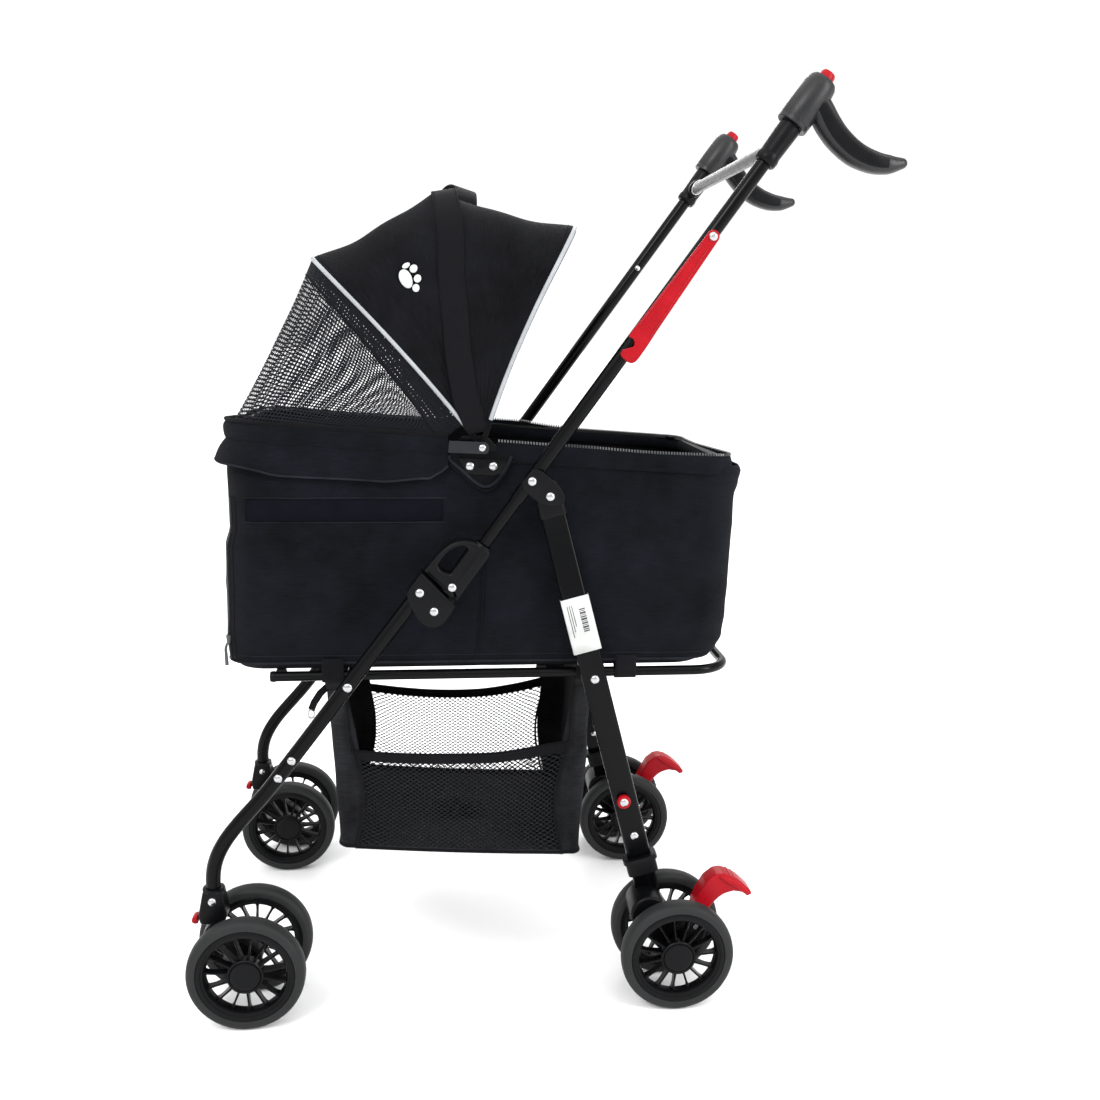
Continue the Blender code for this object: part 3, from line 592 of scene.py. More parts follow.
def studio():
    """White band all round the horizon under a darker ceiling, with soft boxes and a pale floor."""
    area_light("key", (-1.3, -2.2, 2.4), (0, 0, 0.45), 0.8, 32)
    area_light("fill", (2.3, -1.8, 1.5), (0, 0, 0.45), 0.7, 52, 1.6)
    area_light("back", (0.6, 2.6, 2.4), (0, 0, 0.5), 1.6, 40)
    overhead = bpy.data.lights.new("overhead", "SUN")
    overhead.energy = 4.1
    overhead.angle = math.radians(110)
    lamp = bpy.data.objects.new("overhead", overhead)
    lamp.rotation_euler = (math.radians(10), math.radians(-8), 0)
    bpy.context.scene.collection.objects.link(lamp)
    world = bpy.data.worlds.new("studio")
    bpy.context.scene.world = world
    world.use_nodes = True
    tree = world.node_tree
    background = tree.nodes["Background"]
    direction = tree.nodes.new("ShaderNodeTexCoord")
    split = tree.nodes.new("ShaderNodeSeparateXYZ")
    fade = tree.nodes.new("ShaderNodeMapRange")
    tone = tree.nodes.new("ShaderNodeMix")
    tone.data_type = "RGBA"
    tone.inputs[6].default_value = (1.06, 1.06, 1.06, 1.0)
    tone.inputs[7].default_value = (0.16, 0.16, 0.17, 1.0)
    fade.inputs["From Min"].default_value = 0.46
    fade.inputs["From Max"].default_value = 0.60
    tree.links.new(direction.outputs["Generated"], split.inputs[0])
    tree.links.new(split.outputs[2], fade.inputs["Value"])
    tree.links.new(fade.outputs["Result"], tone.inputs[0])
    tree.links.new(tone.outputs[2], background.inputs[0])
    background.inputs[1].default_value = 1.0
    bpy.context.scene.view_settings.view_transform = "Standard"
    n = Nodes("studio_floor", (0.93, 0.93, 0.93), 0.9, specular=0.0)
    n.bump(n.noise(n.coords(), 40.0), 0.0004, 0.2)
    mesh = bpy.data.meshes.new("floor")
    shape = bmesh.new()
    bmesh.ops.create_grid(shape, x_segments=8, y_segments=8, size=40.0)
    shape.to_mesh(mesh)
    shape.free()
    floor = link("floor", mesh, n.made)
    floor.location.z = -0.0004


studio()


# Frame


def sweep(name, points, sections, finish, across=None, caps=True, angle=40):
    """Skin over outlines set across a path. Each section lists (u, y): u in side view, y along Y."""
    shape = bmesh.new()
    rings = []
    for i, (point, outline) in enumerate(zip(points, sections)):
        before, after = points[max(i - 1, 0)], points[min(i + 1, len(points) - 1)]
        ahead = (Vector(after) - Vector(before)).normalized()
        wide = Vector((0, 1, 0)).cross(ahead).normalized() if across is None else Vector(across)
        rings.append([shape.verts.new(Vector(point) + wide * u + Vector((0, v, 0))) for u, v in outline])
    count = len(sections[0])
    for one, two in zip(rings, rings[1:]):
        for i in range(count):
            j = (i + 1) % count
            shape.faces.new((one[i], one[j], two[j], two[i]))
    if caps:
        shape.faces.new(rings[0])
        shape.faces.new(rings[-1])
    bmesh.ops.recalc_face_normals(shape, faces=shape.faces)
    mesh = bpy.data.meshes.new(name)
    shape.to_mesh(mesh)
    shape.free()
    shade(mesh, angle)
    return link(name, mesh, finish)


def oval(width, depth, power=2.0, count=28):
    """Outline (u, y) of a rounded section; a higher power is squarer."""
    out = []
    for i in range(count):
        a = 2 * math.pi * i / count
        c, s = math.cos(a), math.sin(a)
        out.append(
            (
                width / 2 * math.copysign(abs(c) ** (2 / power), c),
                depth / 2 * math.copysign(abs(s) ** (2 / power), s)
            )
        )
    return out


def front_legs():
    for label, side in SIDES.items():
        y = side * TUBE_Y
        bend_end = along(LEG_PIVOT, LEG_SLOPE, -0.1342)
        handle = along(bend_end, LEG_SLOPE, -0.050)
        route = [(CASTER_AXIS, 0.1265)] + bezier(
            (CASTER_AXIS, 0.150), (CASTER_AXIS, 0.195), handle, bend_end, 20
        )
        route.append(along(LEG_PIVOT, LEG_SLOPE, 0.134))
        leg = tube(f"leg_tube_{label}", [W(p, y) for p in route], 0.008, FRAME)
        place(leg, "front_legs", "frame", f"front_leg_{label}")
        out = Vector((0, side, 0))
        low = [along(LEG_PIVOT, LEG_SLOPE, d) for d in (-0.1235, -0.0995)]
        spots = [(W(p, y) + out * 0.0076, out, 0.0046) for p in low]
        spots.append((W(LEG_PIVOT, y) + out * 0.0076, out, 0.0050))
        spots.append((W((-0.0375, 0.1315), y) + out * 0.0112, out, 0.0046))
        spots.append((W((-0.0375, 0.1315), y) - out * 0.0112, -out, 0.0040))
        spots.append((W(LEG_PIVOT, y) - out * 0.0076, -out, 0.0030))
        for distance, across in ((0.0087, 0.0257), (0.0010, 0.0022)):
            spots.append((W(up_handle(distance, across), side * 0.1965), out, 0.0048))
            spots.append((W(up_handle(distance, across), side * 0.1735), -out, 0.0040))
        rivets(f"rivets_front_leg_{label}", spots, "front_legs")


def fold_brackets():
    outline = [
        up_handle(0.0265, 0.0365),
        up_handle(0.0010, 0.0372),
        up_handle(-0.0070, 0.0285),
        up_handle(-0.0165, 0.0085),
        up_handle(-0.0165, -0.0050),
        up_handle(-0.0085, -0.0125),
        up_handle(0.0040, -0.0140),
        up_handle(0.0175, -0.0125),
    ]
    shape = rounded(outline, [0.002, 0.010, 0.012, 0.014, 0.010, 0.010, 0.006, 0.002], 5)
    for label, side in SIDES.items():
        pieces = [
            plate("cheek_out", shape, side * 0.1937, side * 0.1968, PLASTIC, bevel=0.0012, detail=3),
            plate("cheek_in", shape, side * 0.1732, side * 0.1763, PLASTIC, bevel=0.0012, detail=3),
        ]
        bridge = [
            up_handle(0.0262, 0.0335), up_handle(0.0262, 0.0362), up_handle(0.0010, 0.0369),
            up_handle(-0.0010, 0.0345)
        ]
        pieces.append(plate("bridge", bridge, side * 0.1740, side * 0.1960, PLASTIC, bevel=0.0005))
        lip = [up_handle(0.0262, 0.036), up_handle(0.0215, 0.012), up_handle(0.0172, -0.0125)]
        for y in (0.1969, 0.1731):
            line = [W(p, side * y) for p in spline(lip, 6)]
            pieces.append(tube("lip", line, 0.0013, PLASTIC, detail=2))
        place(join(f"clevis_{label}", pieces), "front_legs", "plastic", f"fold_bracket_{label}")


def lock_sleeves():
    outline = [
        up_handle(0.0290, 0.0355),
        up_handle(0.0570, 0.0338),
        up_handle(0.0740, 0.0285),
        up_handle(0.0850, 0.0130),
        up_handle(0.0860, -0.0090),
        up_handle(0.0800, -0.0112),
        up_handle(0.0225, -0.0112),
    ]
    outline = rounded(outline, [0.002, 0.012, 0.014, 0.009, 0.002, 0.003, 0.002], 5)
    hole = [
        up_handle(0.0430, 0.0115),
        up_handle(0.0400, 0.0200),
        up_handle(0.0430, 0.0275),
        up_handle(0.0620, 0.0265),
        up_handle(0.0740, 0.0185),
        up_handle(0.0745, 0.0115),
    ]
    hole = rounded(hole, [0.002, 0.006, 0.004, 0.012, 0.008, 0.002], 5)
    for label, side in SIDES.items():
        body = plate(
            "sleeve", outline, side * 0.1745, side * 0.1955, PLASTIC, [hole[::-1]], bevel=0.0036, detail=4
        )
        start, end = W(up_handle(0.0240), side * TUBE_Y), W(up_handle(0.0868), side * TUBE_Y)
        barrel = lathe(
            "barrel", [(0.0, 0.0086), (0.0, 0.0108), (0.0600, 0.0108), (0.0628, 0.0098), (0.0628, 0.0086)],
            start, end, PLASTIC, 32, True
        )
        place(
            join(f"sleeve_{label}", [body, barrel]), f"lock_sleeve_{label}", "plastic",
            f"lock_sleeve_{label}"
        )
        out = Vector((0, side, 0))
        spot = W(up_handle(0.0324, 0.0018), side * 0.1955)
        back = W(up_handle(0.0324, 0.0018), side * 0.1745)
        rivets(f"rivets_sleeve_{label}", [(spot, out, 0.0048), (back, -out, 0.0040)], f"lock_sleeve_{label}")


def handles():
    for label, side in SIDES.items():
        y = side * TUBE_Y
        out = Vector((0, side, 0))
        profile = [
            (0.0, 0.0002), (0.0, 0.0062), (0.0008, 0.0065), (0.1500, 0.0065), (0.1530, 0.0075),
            (0.6065, 0.0075), (0.6065, 0.0060)
        ]
        tube_part = lathe("upper", profile, W(up_handle(-0.0065), y), W(up_handle(0.5), y), FRAME, 32)
        place(tube_part, "handle", "frame", f"handle_tube_{label}")
        tube_part.name = f"handle_pole_{label}"
        neck = [
            (0.0, 0.0083), (0.0004, 0.0104), (0.0022, 0.0116), (0.0075, 0.0120), (0.0100, 0.0112),
            (0.0125, 0.0110)
        ]
        neck += [(0.0330, 0.0116), (0.0420, 0.0118), (0.0450, 0.0116), (0.0450, 0.0083)]
        collar = lathe("neck", neck, W(up_handle(0.5640), y), W(up_handle(0.62), y), PLASTIC, 40, True)
        mouth = oval_ring(W(up_handle(0.5850)), side * 0.1758, side * 0.1668, 0.0130, 0.0090)
        place(join(f"handle_neck_{label}", [collar, mouth]), "handle", "plastic", f"handle_collar_{label}")
        rivet = up_handle(0.1705)
        corners = [
            (-0.0118, -0.0030), (0.0010, 0.0128), (0.0080, 0.0118), (0.0275, -0.0040), (0.0345, -0.0150),
            (0.0335, -0.0235), (0.0215, -0.0262), (0.0085, -0.0235), (-0.0050, -0.0125)
        ]
        plate_outline = rounded([(rivet[0] + x, rivet[1] + z) for x, z in corners], 0.005, 5)
        bracket = plate(
            f"bracket_plate_{label}", plate_outline, side * 0.1938, side * 0.1972, PLASTIC, bevel=0.0010,
            detail=3
        )
        boss = lathe(
            "pivot_boss", [(0.0, 0.0002), (0.0, 0.0080), (0.0195, 0.0080)], W(BRACKET_PIVOT, side * 0.1745),
            W(BRACKET_PIVOT, side * 0.25), PLASTIC, 32
        )
        place(join(f"bracket_{label}", [bracket, boss]), "handle", "plastic", f"leg_bracket_{label}")
        spots = [(W(p, side * 0.1972), out, 0.0048) for p in (up_handle(0.1705), BRACKET_PIVOT)]
        spots.append((W(up_handle(0.1705), side * 0.1778), -out, 0.0036))
        if side > 0:
            spots.append((W(up_handle(0.459), side * 0.1924), out, 0.0036))
            spots.append((W(up_handle(0.459), side * 0.1776), -out, 0.0036))
        rivets(f"rivets_handle_{label}", spots, "handle")
    crossbar()


def oval_ring(centre, y_start, y_end, half_width, half_thick):
    """Oval socket round the crossbar's end, its wide way along the handle."""
    ahead = Vector((math.cos(HANDLE_SLOPE), 0, math.sin(HANDLE_SLOPE)))
    across = Vector((-math.sin(HANDLE_SLOPE), 0, math.cos(HANDLE_SLOPE)))
    shape = bmesh.new()
    rings = []
    sizes = ((0.0, 1.0), (0.0, 1.0), (0.72, 1.0), (0.95, 0.96), (1.0, 0.90), (1.0, 0.76), (0.6, 0.74))
    for share, factor in sizes:
        y = y_start + (y_end - y_start) * share
        ring = []
        for i in range(40):
            a = 2 * math.pi * i / 40
            point = Vector(
                centre
            ) + ahead * half_width * factor * math.cos(a) + across * half_thick * factor * math.sin(a)
            point.y = y
            ring.append(shape.verts.new(point))
        rings.append(ring)
    for one, two in zip(rings, rings[1:]):
        for i in range(40):
            j = (i + 1) % 40
            shape.faces.new((one[i], one[j], two[j], two[i]))
    shape.faces.new(rings[0])
    bmesh.ops.remove_doubles(shape, verts=shape.verts, dist=1e-6)
    bmesh.ops.recalc_face_normals(shape, faces=shape.faces)
    mesh = bpy.data.meshes.new("mouth")
    shape.to_mesh(mesh)
    shape.free()
    shade(mesh)
    return link("mouth", mesh, PLASTIC)


def crossbar():
    middle = up_handle(0.5850)
    outline = []
    for i in range(48):
        a = 2 * math.pi * i / 48
        outline.append(along(middle, HANDLE_SLOPE, 0.0095 * math.cos(a), 0.0060 * math.sin(a)))
    bar = plate("cross_bar", outline, -0.1718, 0.1718, SILVER, bevel=0.0006)
    place(bar, "handle", "crossbar", "handle_crossbar")
    ahead = Vector((math.cos(HANDLE_SLOPE), 0, math.sin(HANDLE_SLOPE)))
    across = Vector((-math.sin(HANDLE_SLOPE), 0, math.cos(HANDLE_SLOPE)))
    clips = []
    for side in (-1, 1):
        centre = W(middle, side * 0.1600)
        turns = [2 * math.pi * i / 40 for i in range(40)]
        ring = [centre + ahead * 0.0098 * math.cos(a) + across * 0.0063 * math.sin(a) for a in turns]
        clips.append(tube("clip", ring, 0.0011, RIVET, closed=True, detail=3))
    place(join("crossbar_end_rings", clips), "handle", "crossbar")


def grips():
    start, end = 0.6096, 0.6640
    for label, side in SIDES.items():
        y = side * TUBE_Y
        base, top = W(up_handle(start), y), W(up_handle(end), y)
        profile = [
            (0.0, 0.0100), (0.0, 0.0158), (0.0007, 0.0166), (0.0040, 0.0168), (0.0046, 0.0163),
            (0.0052, 0.0163)
        ]
        profile += [
            (0.0060, 0.0167), (0.0300, 0.0170), (0.0430, 0.0168), (0.0500, 0.0156), (0.0535, 0.0134),
            (0.0544, 0.0105)
        ]
        profile += [(0.0544, 0.0092), (0.0496, 0.0090), (0.0496, 0.0002)]
        barrel = lathe("barrel", profile, base, top, GRIP, 56)
        route = spline(
            [
                (0.5740, 0.9700), (0.5850, 0.9600), (0.5960, 0.9430), (0.6080, 0.9290), (0.6250, 0.9160),
                (0.6440, 0.9085), (0.6610, 0.9065), (0.6755, 0.9080)
            ],
            5
        )
        widths = (0.020, 0.026, 0.0262, 0.0255, 0.0245, 0.0225, 0.0190, 0.0110)
        depths = (0.022, 0.026, 0.0265, 0.0270, 0.0265, 0.0250, 0.0220, 0.0130)
        count = len(route)
        sections = []
        for i in range(count):
            t = i / (count - 1) * (len(widths) - 1)
            k = min(int(t), len(widths) - 2)
            f = t - k
            w = widths[k] * (1 - f) + widths[k + 1] * f
            d = depths[k] * (1 - f) + depths[k + 1] * f
            sections.append(oval(w, d, 2.3, 32))
        path = [W(p, y) for p in route]
        lever = sweep("lever", path, sections, GRIP)
        tip = (W(route[-1], y) - W(route[-3], y)).normalized()
        cap_points = [W(route[-1], y) + tip * s for s in (0.0, 0.0022, 0.0040, 0.0048)]
        cap = sweep(
            "cap", cap_points, [oval(0.0110 * f, 0.0130 * f, 2.2, 32) for f in (1.0, 0.86, 0.55, 0.10)],
            GRIP
        )
        panels = []
        for face in (-1, 1):
            line, sizes = [], []
            for i in range(5, count - 6):
                line.append(path[i] + Vector((0, face * (max(v for _, v in sections[i]) - 0.0009), 0)))
                t = (i - 5) / (count - 12)
                sizes.append(
                    oval(
                        0.0145 * (0.35 + 0.65 * math.sin(math.pi * min(1, 0.12 + 0.80 * t)) ** 0.6), 0.0030,
                        3.0, 24
                    )
                )
            panels.append(sweep("panel", line, sizes, PLASTIC))
        inner = tube(
            "inner_tube", [W(up_handle(0.506), y), W(up_handle(start + 0.02), y)], 0.0052, SILVER, detail=4
        )
        place(
            join(f"hand_grip_{label}", [barrel, lever, cap, *panels, inner]), f"grip_{label}", "grip",
            f"grip_{label}"
        )
        press = [
            (0.0, 0.0002), (0.0, 0.0083), (0.0016, 0.0083), (0.0070, 0.0078), (0.0088, 0.0068),
            (0.0093, 0.0050), (0.0093, 0.0002)
        ]
        button = lathe(
            f"height_button_{label}", press, W(up_handle(end - 0.0010), y), W(up_handle(0.7), y), RED, 36
        )
        place(button, f"grip_button_{label}", "red_plastic", f"grip_button_{label}")


def rear_legs():
    for label, side in SIDES.items():
        y = side * REAR_LEG_Y
        out = Vector((0, side, 0))
        section = oval(0.027, 0.012, 5.0, 40)
        ends = [W(down_leg(d), y) for d in (0.0263, 0.0270, 0.4693, 0.4700)]
        small = oval(0.0262, 0.0112, 5.0, 40)
        leg = sweep(f"leg_bar_{label}", ends, [small, section, section, small], FRAME)
        place(leg, "rear_legs", "frame", f"rear_leg_{label}")
        spots = [-0.0135, -0.0125, -0.0090, 0.0, 0.0225, 0.0250, 0.0262]
        sizes = [
            (0.010, 0.008), (0.019, 0.0115), (0.026, 0.0134), (0.0290, 0.0136), (0.0300, 0.0138),
            (0.0295, 0.0136), (0.0280, 0.0126)
        ]
        cap = sweep(
            f"leg_cap_{label}", [W(down_leg(d), y) for d in spots], [oval(w, d, 4.0, 40) for w, d in sizes],
            PLASTIC
        )
        place(cap, "rear_legs", "plastic", f"rear_leg_cap_{label}")
        dots = [
            (W(REAR_PIVOT, y) + out * 0.0060, out, 0.0050), (W(REAR_PIVOT, y) - out * 0.0060, -out, 0.0036)
        ]
        low = down_leg(0.4010)
        dots += [(W(low, y) + out * 0.0060, out, 0.0048), (W(low, y) - out * 0.0060, -out, 0.0040)]
        if side < 0:
            dots.append((W(HOOK_BUSH, -0.1776), out, 0.0050))
        else:
            dots.append((W(HOOK_BUSH, y) + out * 0.0060, out, 0.0042))
        rivets(f"rivets_rear_leg_{label}", dots, "rear_legs")
        housing(label, side)
    ring = [
        (0.0, 0.0040), (0.0, 0.0072), (0.0006, 0.0076), (0.0046, 0.0076), (0.0056, 0.0069), (0.0056, 0.0040)
    ]
    bush = lathe("hook_stud", ring, W(HOOK_BUSH, -0.1729), W(HOOK_BUSH, -0.25), RED, 40, True)
    place(bush, "rear_legs", "red_plastic", "hook_bush")


def paper_label():
    """Paper sticker wrapped on the left rear leg, with a few plain bars and no writing on it."""
    half, y0, y1 = 0.0155, -REAR_LEG_Y - 0.0064, -REAR_LEG_Y + 0.0020
    rows = []
    for distance in (0.1165, 0.130, 0.150, 0.165, 0.1790):
        row = [
            W(down_leg(distance, across), y)
            for across, y in (
                (-half, y1), (-half, y0 + 0.001), (-half * 0.95, y0), (0.0, y0), (half * 0.95, y0),
                (half, y0 + 0.001), (half, y1)
            )
        ]
        rows.append(row)
    made = [grid("sticker", rows, LABEL, 0.0002)]
    reach = 0.130
    for width in (
        0.0012, 0.0006, 0.0018, 0.0006, 0.0012, 0.0020, 0.0006, 0.0015, 0.0006, 0.0018, 0.0009, 0.0012
    ):
        bar = [
            down_leg(reach, 0.0015), down_leg(reach, 0.0080), down_leg(reach + width, 0.0080),
            down_leg(reach + width, 0.0015)
        ]
        made.append(
            grid(
                "bar", [[W(p, y0 - 0.0003) for p in bar[:2]], [W(p, y0 - 0.0003) for p in bar[:1:-1]]], INK,
                0.0001
            )
        )
        reach += width + 0.0011
    for k, across in enumerate((-0.0105, -0.0080, -0.0055)):
        line = [
            down_leg(0.124, across), down_leg(0.124, across + 0.0006),
            down_leg(0.160 - 0.006 * k, across + 0.0006), down_leg(0.160 - 0.006 * k, across)
        ]
        made.append(
            grid(
                "rule", [[W(p, y0 - 0.0003) for p in line[:2]], [W(p, y0 - 0.0003) for p in line[:1:-1]]],
                BAR, 0.0001
            )
        )
    place(join("paper_label", made), "rear_legs", "board")


def housing(label, side):
    """Block that carries the rear axle, with a flanged collar round the leg and cheeks for the pedal."""
    centre = (WHEELBASE, 0.0625)
    y = side * REAR_WHEEL_Y
    outline = belt((0.4370, 0.1000), 0.0205, centre, 0.0150, 14)
    body = plate("block", outline, side * 0.1573, side * 0.2005, WHEEL, bevel=0.0035, detail=4)
    collar = sweep(
        "collar",
        [W(down_leg(d), side * REAR_LEG_Y) for d in (0.4270, 0.4275, 0.4325, 0.4335, 0.4480)],
        [
            oval(a, b, 4.5, 44)
            for a, b in (
                (0.0285, 0.0140), (0.0385, 0.0235), (0.0390, 0.0240), (0.0345, 0.0195), (0.0345, 0.0195)
            )
        ],
        WHEEL,
    )
    cheeks = []
    for low in (REAR_WHEEL_Y - 0.0205, REAR_WHEEL_Y + 0.0135):
        cheeks.append(
            plate(
                "cheek", belt(centre, 0.0135, PEDAL_PIVOT, 0.0085), side * low, side * (low + 0.0040),
                WHEEL, bevel=0.001
            )
        )
    axle = lathe(
        "axle", [(0.0, 0.0002), (0.0, 0.0040), (0.091, 0.0040)], W(centre, y - 0.0455), W(centre, y + 0.1),
        WIRE, 24
    )
    pin = lathe(
        "pedal_pin", [(0.0, 0.0002), (0.0, 0.0030), (0.0385, 0.0030)], W(PEDAL_PIVOT, y - 0.0193),
        W(PEDAL_PIVOT, y + 0.1), WIRE, 20
    )
    place(
        join(f"rear_block_{label}", [body, collar, *cheeks, axle, pin]), "rear_legs", "plastic",
        f"wheel_housing_{label}"
    )


def pedals():
    hub = arc(PEDAL_PIVOT, 0.0060, 130, 320, 10)
    outline = [
        *hub,
        *spline(
            [(0.5010, 0.0905), (0.5060, 0.0990), (0.5130, 0.1090), (0.5225, 0.1168), (0.5340, 0.1205)], 4
        )
    ]
    outline += spline(
        [
            (0.5440, 0.1185), (0.5525, 0.1150), (0.5548, 0.1180), (0.5500, 0.1240), (0.5380, 0.1345),
            (0.5230, 0.1415), (0.5130, 0.1408)
        ],
        4
    )
    outline += spline([(0.5030, 0.1330), (0.4955, 0.1200), (0.4900, 0.1080)], 4)
    for label, side in SIDES.items():
        made = [plate("lever", outline, side * 0.1700, side * 0.1932, RED, bevel=0.0022, detail=4)]
        tread = [
            (0.5150, 0.1400), (0.5230, 0.1400), (0.5380, 0.1330), (0.5480, 0.1240), (0.5525, 0.1170),
            (0.5495, 0.1150), (0.5400, 0.1230), (0.5230, 0.1330)
        ]
        made.append(
            plate("tread", rounded(tread, 0.004), side * 0.1675, side * 0.1957, RED, bevel=0.0016, detail=3)
        )
        for x, z in ((0.5290, 0.1390), (0.5345, 0.1360), (0.5398, 0.1322), (0.5446, 0.1278)):
            made.append(
                tube("rib", [W((x, z), side * 0.1705), W((x, z), side * 0.1927)], 0.0009, RED, detail=2)
            )
        pin_start = W((0.4915, 0.0740), side * 0.1775)
        made.append(
            lathe(
                "lock_pin",
                [(0.0, 0.0002), (0.0, 0.0035), (0.012, 0.0035), (0.0135, 0.0025), (0.0135, 0.0002)],
                pin_start, pin_start + Vector((0, side, 0)), RED, 20
            )
        )
        place(join(f"pedal_{label}", made), f"brake_pedal_{label}", "red_plastic", f"brake_pedal_{label}")


def hook():
    end = along(HOOK_PIVOT, HANDLE_SLOPE, -0.1374)

    def spot(distance, across):
        return along(end, HANDLE_SLOPE, distance, across)

    outline = arc(HOOK_PIVOT, 0.0066, -30, 125, 10)
    outline += [spot(0.030, 0.0090), spot(0.020, 0.0096), spot(0.0095, 0.0096)]
    outline += arc(spot(0.0030, 0.0052), 0.0060, 88, -35, 8)
    outline += spline(
        [
            spot(-0.0060, 0.0062), spot(-0.0100, 0.0055), spot(-0.0122, 0.0020), spot(-0.0125, -0.0060),
            spot(-0.0100, -0.0105), spot(-0.0040, -0.0122), spot(0.0100, -0.0120), spot(0.0300, -0.0108)
        ],
        4
    )
    blade = plate("blade", outline, -0.1945, -0.1978, RED, bevel=0.0009, detail=3)
    rim = [spot(0.020, -0.0088), spot(0.0600, -0.0068), spot(0.1000, -0.0045), spot(0.1250, -0.0030)]
    edge = tube("edge", [W(p, -0.1978) for p in rim], 0.0008, RED, detail=2)
    other = [spot(0.024, 0.0075), spot(0.0600, 0.0066), spot(0.1000, 0.0056), spot(0.1250, 0.0046)]
    edge_two = tube("edge", [W(p, -0.1978) for p in other], 0.0008, RED, detail=2)
    place(join("red_hook", [blade, edge, edge_two]), "hook", "red_plastic", "hook_latch")
    out = Vector((0, -1, 0))
    rivets("rivet_hook", [(W(HOOK_PIVOT, -0.1978), out, 0.0046)], "hook")


def base():
    corner, front, rear = 0.042, 0.026, 0.531
    points = [(front, -RAIL_Y)]
    points += arc((rear - corner, -RAIL_Y + corner), corner, -90, 0, 12)
    points += arc((rear - corner, RAIL_Y - corner), corner, 0, 90, 12)
    points.append((front, RAIL_Y))
    rail = tube("rail", [W((x, RAIL_Z), y) for x, y in points], 0.0055, FRAME)
    made = [rail]
    for pivot, reach in ((LEG_PIVOT, 0.1766), (REAR_PIVOT, 0.1601)):
        made.append(
            lathe(
                "rod", [(0.0, 0.0002), (0.0, 0.0045), (2 * reach, 0.0045)], W(pivot, -reach),
                W(pivot, reach), FRAME, 28
            )
        )
    for side in (-1, 1):
        plug = [(0.0, 0.0002), (0.0004, 0.0050), (0.0016, 0.0059), (0.0048, 0.0061), (0.0060, 0.0057)]
        made.append(
            lathe(
                "plug", plug, W((front - 0.0022, RAIL_Z), side * RAIL_Y), W((1.0, RAIL_Z), side * RAIL_Y),
                PLASTIC, 28
            )
        )
        for x in (0.036, 0.3180):
            made.append(
                plate(
                    "spacer",
                    rounded(
                        [
                            (x - 0.006, 0.3700), (x + 0.006, 0.3700), (x + 0.005, 0.3735),
                            (x - 0.005, 0.3735)
                        ],
                        0.0008
                    ),
                    side * 0.1405, side * 0.1455, PLASTIC, bevel=0.0003
                )
            )
    place(join("base_rails", made), "carrier", "frame", "base_frame")


# Wheels


